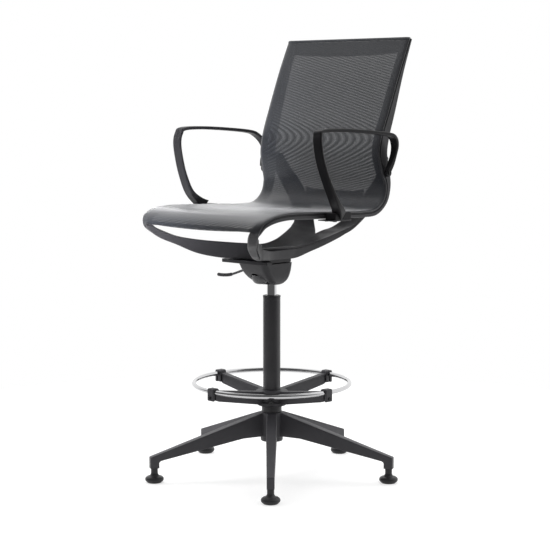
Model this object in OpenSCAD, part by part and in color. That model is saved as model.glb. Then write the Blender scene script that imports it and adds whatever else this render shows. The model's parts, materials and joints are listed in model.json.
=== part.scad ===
// Drafting chair: one-piece style seat and back frame with a knitted mesh, loop arms,
// tilt mechanism, gas lift on a tall stand tube, sliding footring and a five-leg base on glides.
// The chair faces -Y, +X is the sitter's left, the column axis is the Z axis, the floor is z = 0.

/* [Star base] */
// Number of legs
leg_count = 5; // [4:1:6]
// Direction of the first leg, degrees from +X
leg_turn = -46.5; // [-180:0.5:180]
// Distance from the column axis to each glide
leg_reach = 350; // [300:5:390]
// Width of a leg next to the hub
leg_root_w = 31; // [26:1:36]
// Width of a leg at its tip
leg_tip_w = 21; // [19:0.5:26]
// Height of a leg's top edge at its tip
leg_tip_z = 74; // [66:1:84]
// Outer radius of the hub
hub_r = 33.5; // [31:0.5:38]
// Height of the hub's underside above the floor
hub_z = 100; // [90:1:110]
// Height of the hub
hub_h = 84; // [76:1:96]

/* [Glides] */
// Radius of a glide pad
glide_r = 26.7; // [20:0.1:30]
// Height of a glide from the floor to its shoulder
glide_h = 42; // [38:1:48]
// Radius of the steel stem in a leg socket
stem_r = 5.5; // [4:0.5:6]
// Length of the stem inside the socket
stem_l = 24; // [16:1:28]

/* [Column] */
// Outer radius of the stand tube
tube_r = 25; // [24:0.5:28]
// Wall of the stand tube
tube_wall = 2; // [1.5:0.25:2.5]
// Length of the stand tube
tube_l = 410; // [380:5:460]
// Radius of the chrome gas cylinder
cyl_r = 14; // [13:0.5:15]
// Length of the gas cylinder up to its cone
cyl_l = 258; // [240:2:266]
// Length of the cone that the seat mechanism sits on
cone_l = 46; // [40:1:50]
// Chrome that shows between the tube and the mechanism
cyl_show = 32; // [30:1:80]
// Radius of the piston rod
rod_r = 5; // [4:0.5:6]
// Depth of the guide bush in the tube
bush_l = 80; // [60:5:100]

/* [Footring] */
// Radius of the footring's centre line
ring_r = 225; // [190:1:240]
// Radius of the footring tube
ring_tube_r = 6.5; // [6:0.5:9]
// Height of the footring's centre line above the floor
ring_z = 269; // [266:1:320]
// Number of spokes
spoke_count = 4; // [3:1:5]
// Turn of the first spoke, degrees from +X
spoke_turn = -3; // [-45:1:45]
// Width of a spoke
spoke_w = 13; // [10:1:16]
// Width of the clip over the ring
clip_w = 23; // [18:1:26]
// Radius of the lower flange of the ring hub
ring_hub_r = 45.5; // [42:0.5:50]

/* [Mechanism] */
// Half width of the mechanism housing
house_w2 = 55; // [53:1:60]
// Front end of the housing, in front of the column
house_front = 88; // [84:1:100]
// Rear end of the housing, behind the column
house_rear = 36; // [36:1:44]
// Height of the housing
house_h = 64; // [62:1:72]
// Wall of the housing
house_wall = 3; // [2:0.5:3.5]
// Half width of the tilt plate at its front edge
plate_w2 = 90; // [70:1:100]
// Thickness of the tilt plate
plate_t = 10; // [8:1:12]
// Radius of the tilt axle
axle_r = 4; // [3.5:0.5:4.5]
// Radius of the tension knob
knob_r = 25; // [20:1:27]
// Radius of the height lever's wire
lever_r = 3.5; // [3:0.5:4.5]
// Reach of the height lever from the column axis
lever_reach = 186; // [150:2:230]

/* [Seat and back frame] */
// Width of the frame over the seat rails
seat_w = 490; // [450:2:520]
// Height of the seat rail's centre above the tilt plate
seat_rise = 134; // [126:1:146]
// How far the seat reaches in front of the column
seat_front = 288; // [270:1:300]
// How far the front of the seat rolls down to the yoke's arms
nose_drop = 62; // [56:1:68]
// Height of the back above the seat rail's centre
back_h = 492; // [460:2:520]
// How far the top of the back leans behind the column
back_lean = 329; // [315:1:345]
// Width of a seat rail
rail_w = 24; // [20:1:28]
// Depth of a seat rail
rail_d = 19; // [17:0.5:22]
// Width of a back upright
upright_w = 28; // [24:1:32]
// Height of the yoke band at its middle
yoke_h = 46; // [40:1:50]
// Wall of the cradle
cradle_t = 5; // [4:0.5:6]
// Depth of the top rail
top_h = 42; // [34:1:50]
// Thickness of the mesh
mesh_t = 1.6; // [1.2:0.2:2]
// Width of the groove for the welt
groove_w = 5; // [4:0.5:6]

/* [Arms] */
// How far the outer face of an arm stands out beyond the frame
arm_stand = 45; // [38:1:52]
// Width of the arm band
arm_w = 30; // [26:1:34]
// Thickness of the arm band
arm_t = 9.5; // [8:0.5:12]
// Height of the arm above the seat rail's centre
arm_rise = 239; // [220:1:255]

/* [Hidden] */
$fn = 64;

// Clearances
fit = 0.05;       // running fit on radius
seat_gap = 0.3;   // between pieces that lie on each other with curved faces
eps = 0.01;

// Colours
charcoal = [0.17, 0.17, 0.19];
graphite = [0.24, 0.24, 0.26];
steel = [0.62, 0.63, 0.65];
chrome = [0.85, 0.86, 0.88];
knit = [0.42, 0.43, 0.46];

// Heights of the column, from the floor up
hub_top = hub_z + hub_h;
tube_z = hub_z + 8;
tube_top = tube_z + tube_l;
floor_t = 3;                 // bottom plate of the stand tube
bush_cap = 6;                // cap of the guide bush above the tube
house_z = tube_top + bush_cap + cyl_show;
house_top = house_z + house_h;
cone_top = house_z + 6 + cone_l;
cyl_bottom = cone_top - cone_l - cyl_l;
plate_z = house_top + 2;
plate_top = plate_z + plate_t;
seat_z = plate_top + seat_rise;
back_top = seat_z + back_h;

// Lift stroke: down until the housing nears the bush cap, and up
lift_down = cyl_show - 2;
lift_up = 160;

// Bearing stack inside the foot of the tube
race_t = 2;
ball_r = 1.75;
race_r = 12;
race_z = tube_z + floor_t;
ball_z = race_z + race_t + ball_r;
race_top_z = ball_z + ball_r;
buffer_h = 22;
buffer_z = race_top_z + race_t + 0.3;

// ---------- curve helpers ----------
function unit(v) = v / norm(v);
// Smooth curve through the points of P; t runs from 0 to len(P) - 1
function smooth(P, t) =
    let (n = len(P), i = min(max(floor(t), 0), n - 2), f = t - i,
         a = P[max(i - 1, 0)], b = P[i], c = P[i + 1], d = P[min(i + 2, n - 1)])
    0.5 * (2 * b + (c - a) * f + (2 * a - 5 * b + 4 * c - d) * f * f
           + (3 * b - a - 3 * c + d) * f * f * f);
function xyz(v) = [v[0], v[1], v[2]];
function heading(P, t) = unit(xyz(smooth(P, t + 0.02)) - xyz(smooth(P, t - 0.02)));
// A point at side offset l and outward offset n from the curve, whose side axis is turned by a
function beside(P, t, a, l, n) =
    let (T = heading(P, t), out = unit(cross(T, [cos(a), sin(a), 0])), side = cross(out, T))
    xyz(smooth(P, t)) + l * side + n * out;
function steps(t0, t1, n) = [for (i = [0:n]) t0 + (t1 - t0) * i / n];
// A rectangle with cut corners
function cut_rect(w, d, c) = [
    [-w / 2 + c, -d / 2], [w / 2 - c, -d / 2], [w / 2, -d / 2 + c], [w / 2, d / 2 - c],
    [w / 2 - c, d / 2], [-w / 2 + c, d / 2], [-w / 2, d / 2 - c], [-w / 2, -d / 2 + c]
];
function round_rect(w, d, r, n) = [
    for (q = [0:3]) for (k = [0:n])
        let (a = 90 * q + 90 * k / n, sx = (q == 0 || q == 3) ? 1 : -1, sy = q < 2 ? 1 : -1)
        [sx * (w / 2 - r) + r * cos(a), sy * (d / 2 - r) + r * sin(a)]
];

// End face of a skin: one face where the ring is flat, or a strip of triangles over a bent ring
function end_face(m, bent) = !bent ? [[for (j = [0:m - 1]) j]] :
    [for (k = [0:m / 2 - 2]) each [[k, k + 1, m - 2 - k], [k, m - 2 - k, m - 1 - k]]];
function turned(faces, offset) = [for (f = faces) [for (k = [len(f) - 1:-1:0]) f[k] + offset]];
// Skin over a list of rings that all have the same number of points; the quads from point
// number flip on are cut along their other diagonal, so that skins lying on each other match
module skin(rings, flip = 999, bent = false) {
    n = len(rings);
    m = len(rings[0]);
    end = end_face(m, bent);
    polyhedron(
        points = [for (r = rings) each r],
        faces = concat(
            end,
            [for (i = [0:n - 2]) for (j = [0:m - 1])
                let (a = i * m + j, b = a + m, c = (i + 1) * m + (j + 1) % m, d = c - m)
                each j < flip ? [[a, b, c], [a, c, d]] : [[a, b, d], [b, c, d]]],
            turned(end, (n - 1) * m)),
        convexity = 8);
}

// ---------- the line of the side frame ----------
// Each point: x, y, z, turn of the side axis, width, depth
sw = seat_w / 2;
bx = sw - 7 - upright_w / 2;     // middle of a back upright
rx = sw - rail_w / 2;            // middle of a seat rail
yf = seat_front;
lean = back_lean;
yoke_z = plate_top + yoke_h / 2 + 1;
HALF = [
    [bx, lean, back_top, 0, upright_w, 15],
    [bx, lean - 40, back_top - 0.19 * back_h, 0, upright_w, 22],
    [bx - 1, lean - 80, back_top - 0.413 * back_h, 0, upright_w, 32],
    [bx - 3, lean - 106, back_top - 0.561 * back_h, 0, upright_w, 38],
    [bx - 3, lean - 116, back_top - 0.667 * back_h, 0, upright_w, 40],
    [bx + 2, lean - 108, back_top - 0.768 * back_h, 0, upright_w, 34],
    [rx - 3, lean - 102, seat_z + 73, 0, rail_w + 2, 25],
    [rx, lean - 115, seat_z + 31, 0, rail_w, rail_d + 1],
    [rx, lean - 153, seat_z + 2, 0, rail_w, rail_d],
    [rx, lean - 209, seat_z - 3, 0, rail_w, rail_d - 1],
    [rx, 20, seat_z, 0, rail_w, rail_d - 1],
    [rx, -80, seat_z + 3, 0, rail_w, rail_d],
    [rx, -yf + 1.9 * nose_drop, seat_z + 5.5, 0, rail_w, rail_d],
    [rx - 1, -yf + 0.97 * nose_drop, seat_z + 1, 0, rail_w, rail_d],
    [rx - 0.1 * nose_drop, -yf + 0.34 * nose_drop, seat_z - 0.19 * nose_drop, 4, rail_w, rail_d - 1],
    [rx - 0.26 * nose_drop, -yf + 0.12 * nose_drop, seat_z - 0.47 * nose_drop, 14, rail_w + 1, rail_d - 2],
    [rx - 0.5 * nose_drop, -yf + 0.16 * nose_drop, seat_z - 0.73 * nose_drop, 30, rail_w + 2, rail_d - 1],
    [rx - 0.87 * nose_drop, -yf + 0.46 * nose_drop, seat_z - nose_drop, 44, rail_w + 2, rail_d + 2],
    [rx - 83, -yf + 58, plate_top + 56, 40, rail_w, 23],
    [rx - 118, -yf + 106, plate_top + 38, 37, rail_w - 4, 38],
    [80, -133, yoke_z + 4, 43, 16, yoke_h - 1],
    [40, -96, yoke_z, 62, 12, yoke_h],
    [0, -86, yoke_z, 90, 12, yoke_h]
];
T_MID = len(HALF) - 1;           // middle of the yoke
T_LAP = 19;                      // where a side rail butts on the front yoke
FRAME = concat(HALF, [for (k = [T_MID - 1:-1:0]) let (v = HALF[k])
    [-v[0], v[1], v[2], 180 - v[3], v[4], v[5]]]);
DT = 1 / 3;                      // step between the rings of the rails, mesh and welts
T_MESH = 15 + DT;                // where the mesh ends round the nose
function rail_at(t) = smooth(FRAME, t);
function on_rail(t, l, n) = beside(FRAME, t, rail_at(t)[3], l, n);
groove_d = 4;
function rail_ring(t) =
    let (v = rail_at(t), w = v[4], d = v[5], c = 3, g = t < T_MESH + 0.6 ? groove_d : 0.4,
         g0 = d / 2 - 4 - groove_w, g1 = d / 2 - 4)
    [for (p = [
        [-w / 2 + c, -d / 2], [w / 2 - c, -d / 2], [w / 2, -d / 2 + c],
        [w / 2, g0], [w / 2 - g, g0], [w / 2 - g, g1], [w / 2, g1],
        [w / 2, d / 2 - c], [w / 2 - c, d / 2], [-w / 2 + c, d / 2], [-w / 2, d / 2 - c],
        [-w / 2, -d / 2 + c]]) on_rail(t, p[0], p[1])];

// ---------- star base ----------
module leg() {
    socket_r0 = leg_reach - 12;
    socket_r1 = leg_reach + 13;
    side = [
        [10, hub_top - 1], [hub_r + 1, hub_top - 1], [socket_r1, leg_tip_z], [socket_r1, glide_h],
        [socket_r0, glide_h], [socket_r0, glide_h + 13], [socket_r0 - 6, glide_h + 20],
        [hub_r + 8, hub_z + 14], [10, hub_z + 12]
    ];
    plan = [
        [10, -leg_root_w / 2 + 3], [90, -leg_root_w / 2], [socket_r1, -leg_tip_w / 2],
        [socket_r1, leg_tip_w / 2], [90, leg_root_w / 2], [10, leg_root_w / 2 - 3]
    ];
    intersection() {
        rotate([90, 0, 0]) translate([0, 0, -leg_root_w]) linear_extrude(2 * leg_root_w) polygon(side);
        linear_extrude(hub_top + 1) polygon(plan);
    }
}
module at_legs() {
    for (i = [0:leg_count - 1]) rotate(leg_turn + i * 360 / leg_count) children();
}
module star_base() {
    color(charcoal) difference() {
        union() {
            translate([0, 0, hub_z]) cylinder(r = hub_r, h = hub_h);
            at_legs() leg();
        }
        translate([0, 0, tube_z]) cylinder(r = tube_r + fit, h = hub_h + 20);
        translate([0, 0, hub_z - 1]) cylinder(r = tube_r - 4, h = 20);
        at_legs() translate([leg_reach, 0, glide_h - 1]) cylinder(r = stem_r + fit, h = stem_l + 2);
    }
}
module glide_stems() {
    color(steel) at_legs() translate([leg_reach, 0, 0]) {
        translate([0, 0, 12]) cylinder(r = stem_r, h = glide_h - 12 + stem_l);
        translate([0, 0, glide_h + stem_l - 8]) difference() {
            cylinder(r = stem_r + fit, h = 3);
            translate([0, 0, -1]) cylinder(r = stem_r - 0.5, h = 5);
        }
    }
}
// Trumpet-shaped pad: flat foot, rounded rim, hollow flare up to a neck
module glide_pads() {
    rim_z = 10;
    rim_r = 7.5;
    neck_r = 9.8;
    flare_r = glide_r - 6;
    flare = [for (k = [0:6]) let (a = 90 * k / 6)
        [flare_r - (flare_r - neck_r) * sin(a), glide_h - 13 - 11 * cos(a)]];
    rim = [for (k = [0:8]) let (a = -60 + 135 * k / 8)
        [glide_r - rim_r + rim_r * cos(a), rim_z + rim_r * sin(a)]];
    pad = concat([[stem_r + fit, 0], [glide_r - rim_r, 0]], rim, flare,
        [[neck_r, glide_h - 4], [neck_r + 0.6, glide_h - 3], [neck_r + 0.6, glide_h - seat_gap],
         [stem_r + fit, glide_h - seat_gap]]);
    color(charcoal) at_legs() translate([leg_reach, 0, 0]) {
        rotate_extrude() polygon(pad);
        cylinder(r = stem_r + 1, h = 12);
    }
}

// ---------- column ----------
module stand_tube() {
    color(charcoal) translate([0, 0, tube_z]) difference() {
        cylinder(r = tube_r, h = tube_l);
        translate([0, 0, floor_t]) cylinder(r = tube_r - tube_wall, h = tube_l);
        translate([0, 0, -1]) cylinder(r = rod_r + 0.6, h = floor_t + 2);
    }
}
module guide_bush() {
    color([0.1, 0.1, 0.11]) translate([0, 0, tube_top]) difference() {
        union() {
            cylinder(r = tube_r + 0.5, h = bush_cap);
            translate([0, 0, -bush_l]) cylinder(r = tube_r - tube_wall - fit, h = bush_l + 1);
        }
        translate([0, 0, -bush_l - 1]) cylinder(r = cyl_r + fit, h = bush_l + bush_cap + 2);
    }
}
module race(z) {
    translate([0, 0, z]) difference() {
        cylinder(r = race_r, h = race_t);
        translate([0, 0, -1]) cylinder(r = rod_r + fit, h = race_t + 2);
    }
}
module bearing_lower_race() { color(steel) race(race_z); }
module bearing_upper_race() { color(steel) race(race_top_z); }
module bearing_balls() {
    ball_n = 10;
    color(chrome) for (i = [0:ball_n - 1]) rotate(i * 360 / ball_n)
        translate([(race_r + rod_r) / 2, 0, ball_z]) sphere(r = ball_r);
}
module rubber_buffer() {
    color([0.12, 0.12, 0.12]) translate([0, 0, buffer_z]) difference() {
        cylinder(r = race_r, h = buffer_h);
        translate([0, 0, -1]) cylinder(r = rod_r + 0.3, h = buffer_h + 2);
    }
}
clip_z = tube_z - 1.2;
module piston_rod() {
    rod_top = cyl_bottom + lift_up + 30;
    color(chrome) difference() {
        translate([0, 0, tube_z - 4]) cylinder(r = rod_r, h = rod_top - tube_z + 4);
        translate([0, 0, clip_z - fit]) difference() {
            cylinder(r = rod_r + 1, h = 1 + 2 * fit);
            translate([0, 0, -1]) cylinder(r = rod_r - 1, h = 3);
        }
    }
}
cyl_bore = cyl_r - 1.5;
module piston() {
    rod_top = cyl_bottom + lift_up + 30;
    color(steel) translate([0, 0, rod_top]) difference() {
        cylinder(r = cyl_bore - fit, h = 10);
        translate([0, 0, 3]) cylinder(r = 4, h = 8);
    }
}
module rod_clip() {
    color(steel) translate([0, 0, clip_z]) difference() {
        cylinder(r = rod_r + 4, h = 1);
        translate([0, 0, -1]) cylinder(r = rod_r - 1 + fit, h = 3);
        translate([0, -rod_r + 2, -1]) cube([rod_r * 3, 2 * rod_r - 4, 4]);
    }
}
pin_r = 3.5;
pin_top = cone_top + 4;
module gas_cylinder() {
    bore_top = cone_top - 22;
    color(chrome) difference() {
        union() {
            translate([0, 0, cyl_bottom]) cylinder(r = cyl_r, h = cyl_l);
            translate([0, 0, cone_top - cone_l]) cylinder(r1 = cyl_r, r2 = cyl_r - 1.1, h = cone_l);
        }
        translate([0, 0, cyl_bottom + 14]) cylinder(r = cyl_bore, h = bore_top - cyl_bottom - 14);
        translate([0, 0, cyl_bottom - 1]) cylinder(r = rod_r + fit, h = 20);
        translate([0, 0, bore_top + 2]) cylinder(r = pin_r + fit, h = 30);
    }
}
module release_pin() {
    color(steel) translate([0, 0, pin_top - 14]) cylinder(r = pin_r, h = 14);
}

// ---------- footring ----------
sleeve_r = tube_r + 2.3;
ring_hub_z = ring_z - 65;        // underside of the hub
ring_hub_h = 46;
module at_spokes() {
    for (i = [0:spoke_count - 1]) rotate(spoke_turn + i * 360 / spoke_count) children();
}
module footring_tube() {
    color(chrome) translate([0, 0, ring_z]) rotate_extrude($fn = 128)
        translate([ring_r, 0]) circle(r = ring_tube_r, $fn = 32);
}
spoke_end = ring_r - ring_tube_r - 3;
clip_r0 = ring_r - 13;           // inner edge of a clip, over the end of its spoke
module spoke() {
    side = [
        [sleeve_r + 1, ring_hub_z + ring_hub_h - 4], [clip_r0 - seat_gap, ring_z + 2],
        [clip_r0 - seat_gap, ring_z - 1], [spoke_end + 3, ring_z - 1],
        [spoke_end + 3, ring_z - 22], [spoke_end - 8, ring_z - 29], [sleeve_r + 1, ring_hub_z + 3]
    ];
    rotate([90, 0, 0]) translate([0, 0, -spoke_w / 2]) linear_extrude(spoke_w) polygon(side);
    top = [
        [sleeve_r + 1, ring_hub_z + ring_hub_h - 7], [sleeve_r + 1, ring_hub_z + ring_hub_h - 3],
        [clip_r0 - seat_gap, ring_z + 3], [clip_r0 - seat_gap, ring_z - 1]
    ];
    rotate([90, 0, 0]) translate([0, 0, -spoke_w / 2 - 3]) linear_extrude(spoke_w + 6) polygon(top);
}
// Saddle block that holds the ring from the inside and below
module ring_saddle() {
    translate([spoke_end - 4, -clip_w / 2, ring_z - 24])
        cube([ring_tube_r + 6, clip_w, 24 - 1]);
}
lock_turn = spoke_turn - 45;     // direction of the lock screw
lock_z = ring_hub_z + 13;
lock_r = 4;
module footring_hub() {
    hub = [
        [sleeve_r + fit, ring_hub_z], [ring_hub_r - 6, ring_hub_z], [ring_hub_r, ring_hub_z + 6],
        [ring_hub_r, ring_hub_z + 10], [sleeve_r + 12, ring_hub_z + 14],
        [sleeve_r + 12, ring_hub_z + ring_hub_h - 12], [sleeve_r + 18, ring_hub_z + ring_hub_h - 6],
        [sleeve_r + 18, ring_hub_z + ring_hub_h - 3], [sleeve_r + 3, ring_hub_z + ring_hub_h],
        [sleeve_r + fit, ring_hub_z + ring_hub_h]
    ];
    color(charcoal) difference() {
        union() {
            rotate_extrude() polygon(hub);
            at_spokes() {
                spoke();
                ring_saddle();
            }
            rotate(lock_turn) translate([sleeve_r + 2, 0, lock_z]) rotate([0, 90, 0])
                cylinder(r = lock_r + 4, h = 16);
        }
        translate([0, 0, ring_z]) rotate_extrude($fn = 128)
            translate([ring_r, 0]) circle(r = ring_tube_r + seat_gap, $fn = 32);
        rotate(lock_turn) translate([sleeve_r - 2, 0, lock_z]) rotate([0, 90, 0])
            cylinder(r = lock_r + fit, h = 30);
        translate([0, 0, ring_hub_z - 1]) cylinder(r = sleeve_r + fit, h = ring_hub_h + 2);
    }
}
// Hook over the ring, screwed up into the saddle from its outer foot
clip_wall = 4.5;
clip_r1 = ring_r + ring_tube_r + clip_wall;
clip_foot = spoke_end + ring_tube_r + 2.3; // inner face of the clip's foot, against the saddle
module ring_clips() {
    color(charcoal) difference() {
        at_spokes() difference() {
            union() {
                translate([clip_r0, -clip_w / 2, ring_z - 1 + seat_gap])
                    cube([clip_r1 - clip_r0, clip_w, ring_tube_r + clip_wall + 1]);
                translate([ring_r + 0.5, -clip_w / 2, ring_z - 25])
                    cube([clip_r1 - ring_r - 0.5, clip_w, 26]);
            }
            translate([0, -clip_w, ring_z - 24 - seat_gap]) cube([clip_foot, 2 * clip_w, 23 + seat_gap]);
            translate([0, 0, ring_z - 16]) rotate([0, 90, 0]) cylinder(r = 2.6, h = ring_r + 50);
        }
        translate([0, 0, ring_z]) rotate_extrude($fn = 128)
            translate([ring_r, 0]) circle(r = ring_tube_r + seat_gap, $fn = 32);
    }
}
module clip_screws() {
    color(steel) at_spokes() translate([0, 0, ring_z - 16]) rotate([0, 90, 0]) {
        translate([0, 0, clip_foot]) cylinder(r = 2.5, h = clip_r1 - clip_foot);
        translate([0, 0, clip_r1 + 0.1]) cylinder(r = 4.5, h = 2.4);
    }
}
module collet_sleeve() {
    sleeve_z = hub_top + 1;
    sleeve_h = ring_hub_z + ring_hub_h + 1 - sleeve_z;
    color(graphite) translate([0, 0, sleeve_z]) difference() {
        union() {
            cylinder(r = sleeve_r, h = sleeve_h);
            cylinder(r = sleeve_r + 1.5, h = ring_hub_z - sleeve_z - seat_gap);
        }
        translate([0, 0, -1]) cylinder(r = tube_r + fit, h = sleeve_h + 2);
        rotate(lock_turn + 180) translate([0, -1, ring_hub_z - sleeve_z]) cube([40, 2, sleeve_h]);
    }
}
module ring_lock_screw() {
    color(graphite) rotate(lock_turn) translate([0, 0, lock_z]) rotate([0, 90, 0]) {
        translate([0, 0, sleeve_r + 0.1]) cylinder(r = lock_r, h = 20);
        translate([0, 0, sleeve_r + 18 + seat_gap]) cylinder(r = lock_r + 3.5, h = 5);
    }
}

// ---------- mechanism ----------
// Rounded outline of the housing at height z: half width, front and rear ends
function house_ring(z, w2, front, rear, r, inset) =
    [for (p = round_rect(2 * (w2 - inset), front + rear - 2 * inset, max(r - inset, 2), 5))
        [p[0], p[1] + (rear - front) / 2, z]];
function house_rings(inset, lift) = [
    house_ring(house_z + lift, cyl_r + 10, cyl_r + 10, cyl_r + 8, 18, inset),
    house_ring(house_z + 5 + lift * 0.6, 36, 34, 24, 20, inset),
    house_ring(house_z + 18, 0.86 * house_w2, 0.62 * house_front, 0.82 * house_rear, 20, inset),
    house_ring(house_z + 38, 0.95 * house_w2, 0.84 * house_front, 0.94 * house_rear, 18, inset),
    house_ring(house_top + (inset > 0 ? 1 : 0), house_w2, house_front, house_rear, 17, inset)
];
knob_y = -46;
axle_y = house_rear - house_wall - 9;
axle_z = house_z + 50;
lever_y = -35;
lever_z = house_z + 42;
lever_pivot_x = -house_w2 + 13;
module mechanism_housing() {
    color(charcoal) difference() {
        union() {
            difference() {
                skin(house_rings(0, 0));
                skin(house_rings(house_wall, house_wall));
            }
            at_house_screws() translate([0, 0, 5]) cylinder(r = 5.5, h = cast_foot - 5 - eps);
        }
        translate([0, 0, house_z - 1]) cylinder(r = cyl_r + 2, h = 20);
        translate([0, knob_y, house_z - 5]) cylinder(r = knob_r + 1.5, h = 40);
        translate([-house_w2 - 5, lever_y - 6, lever_z - 9]) cube([16, 12, 17]);
        at_house_screws() {
            cylinder(r = 2 + fit, h = 30);
            cylinder(r = 4 + seat_gap, h = 8);
        }
    }
}
cast_foot = 15.5;                // underside of the casting's feet above the housing's underside
module at_house_screws() {
    for (s = [-1, 1]) translate([s * 30, 8, house_z]) children();
}
// Fixed casting: cone socket, axle lugs, front arm for the screw and lug for the lever
ear_x = house_w2 - 18;           // middle of a tilt plate ear
lug_x = ear_x - 8;               // middle of a casting lug
lug_w = 6;
arm_z = house_z + 36;
module column_casting() {
    socket_z = house_z + 7;
    color(graphite) difference() {
        union() {
            translate([0, 0, socket_z]) cylinder(r = cyl_r + 4, h = cone_top - socket_z - 2);
            translate([-lug_x - lug_w / 2, axle_y - 13, house_z + 24])
                cube([2 * lug_x + lug_w, 8, 12]);
            for (s = [-1, 1]) translate([s * lug_x - lug_w / 2, axle_y - 13, house_z + 24]) {
                cube([lug_w, 8, axle_z - house_z - 24 + 7]);
                translate([0, 0, axle_z - house_z - 24 - 8]) cube([lug_w, 19, 15]);
            }
            translate([-9, knob_y - 9, arm_z]) cube([18, -knob_y + 9 - 8, 8]);
            for (y = [-9, 5]) translate([lever_pivot_x - 3, lever_y + y, lever_z - 14]) cube([6, 4, 20]);
            translate([lever_pivot_x - 3, lever_y - 9, lever_z - 16]) cube([6, 18, 4]);
            hull() {
                translate([lever_pivot_x - 3, lever_y - 3, lever_z - 16]) cube([6, 8, 4]);
                translate([-14, -12, lever_z - 16]) cube([6, 8, 4]);
            }
            for (s = [-1, 1]) hull() {
                translate([s * 30, 8, house_z + cast_foot]) cylinder(r = 5, h = 12);
                translate([s * 12, 4, house_z + 18]) cylinder(r = 5, h = 9.5);
            }
        }
        translate([0, 0, cone_top - cone_l])
            cylinder(r1 = cyl_r + fit, r2 = cyl_r - 1.1 + fit, h = cone_l);
        translate([0, 0, house_z]) cylinder(r = cyl_r + fit, h = cone_top - cone_l - house_z + eps);
        translate([-house_w2, axle_y, axle_z]) rotate([0, 90, 0]) cylinder(r = axle_r + fit, h = 2 * house_w2);
        translate([0, knob_y, arm_z - 1]) cylinder(r = 4 + fit, h = 12);
        translate([lever_pivot_x, lever_y - 12, lever_z]) rotate([-90, 0, 0])
            cylinder(r = 2 + fit, h = 24);
        at_house_screws() cylinder(r = 2 + fit, h = cast_foot + 9);
    }
}
module housing_screws() {
    color(steel) at_house_screws() {
        translate([0, 0, 8 - eps]) cylinder(r = 2, h = cast_foot);
        translate([0, 0, 5]) cylinder(r = 4, h = 3 - eps);
    }
}
module tilt_axle() {
    color(steel) translate([-ear_x - 5, axle_y, axle_z]) rotate([0, 90, 0])
        cylinder(r = axle_r, h = 2 * ear_x + 10);
}
module axle_clips() {
    color(steel) for (s = [-1, 1]) translate([s * (ear_x + 3.4) - 0.5, axle_y, axle_z]) rotate([0, 90, 0])
        difference() {
            cylinder(r = axle_r + 2.5, h = 1);
            translate([0, 0, -1]) cylinder(r = axle_r + fit, h = 3);
        }
}
// Two torsion coils round the axle
spring_wire = 1.2;
spring_r = axle_r + spring_wire + seat_gap;
module tilt_spring() {
    turns = 4;
    pitch = 2 * spring_wire + 0.2;
    start = lug_x - lug_w / 2 - 0.6 - spring_wire - turns * pitch;
    for (s = [-1, 1]) color(steel) {
        skin([for (k = [0:turns * 16]) let (a = 360 * k / 16, x = s * (start + pitch * k / 16))
            [for (j = [0:5]) let (b = -60 * j)
                [x + spring_wire * sin(b), axle_y + (spring_r + spring_wire * cos(b)) * cos(a),
                 axle_z + (spring_r + spring_wire * cos(b)) * sin(a)]]]);
    }
}
knob_z = house_z + 4;
module tension_knob() {
    h = 26;
    knob = [
        [4 + fit, 0], [knob_r - 9, 0], [knob_r - 3, 3], [knob_r, 9], [knob_r, h], [4 + fit, h]
    ];
    color([0.36, 0.36, 0.38]) translate([0, knob_y, knob_z]) difference() {
        rotate_extrude() polygon(knob);
        translate([0, 0, 8]) difference() {
            cylinder(r = knob_r - 3, h = h);
            translate([0, 0, -1]) cylinder(r = 9, h = h + 2);
        }
    }
}
module tension_screw() {
    color(steel) translate([0, knob_y, knob_z + 2]) cylinder(r = 4, h = axle_z - knob_z - 4);
}
// Bent wire lever; its inner finger lies over the release pin
LEVER = [
    [-lever_reach, lever_y, lever_z - 25],
    [-0.86 * lever_reach, lever_y, lever_z - 25],
    [-0.68 * lever_reach, lever_y, lever_z - 20],
    [-house_w2 - 14, lever_y, lever_z - 2],
    [lever_pivot_x, lever_y, lever_z],
    [lever_pivot_x + 10, lever_y + 3, lever_z + 6],
    [-12, -8, pin_top + lever_r + seat_gap],
    [2, 1, pin_top + lever_r + seat_gap]
];
function wire_ring(P, t, r, n) = [for (j = [0:n - 1]) let (a = 360 * j / n)
    beside(P, t, 90, r * cos(a), r * sin(a))];
module height_lever() {
    color(graphite) difference() {
        union() {
            skin([for (t = steps(0.85, 7, 30)) wire_ring(LEVER, t, lever_r, 10)]);
            translate([lever_pivot_x, lever_y - 4.5, lever_z]) rotate([-90, 0, 0])
                cylinder(r = 5, h = 9);
        }
        translate([lever_pivot_x, lever_y - 8, lever_z]) rotate([-90, 0, 0])
            cylinder(r = 2 + fit, h = 16);
    }
}
module lever_grip() {
    color(charcoal) difference() {
        skin([for (t = steps(0, 2, 10)) wire_ring(LEVER, t, lever_r + 1.4, 10)]);
        skin([for (t = steps(0.85, 2.05, 10)) wire_ring(LEVER, t, lever_r + fit, 10)]);
    }
}
module lever_pin() {
    color(steel) translate([lever_pivot_x, lever_y - 9.5, lever_z]) rotate([-90, 0, 0])
        cylinder(r = 2, h = 19);
}
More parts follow.
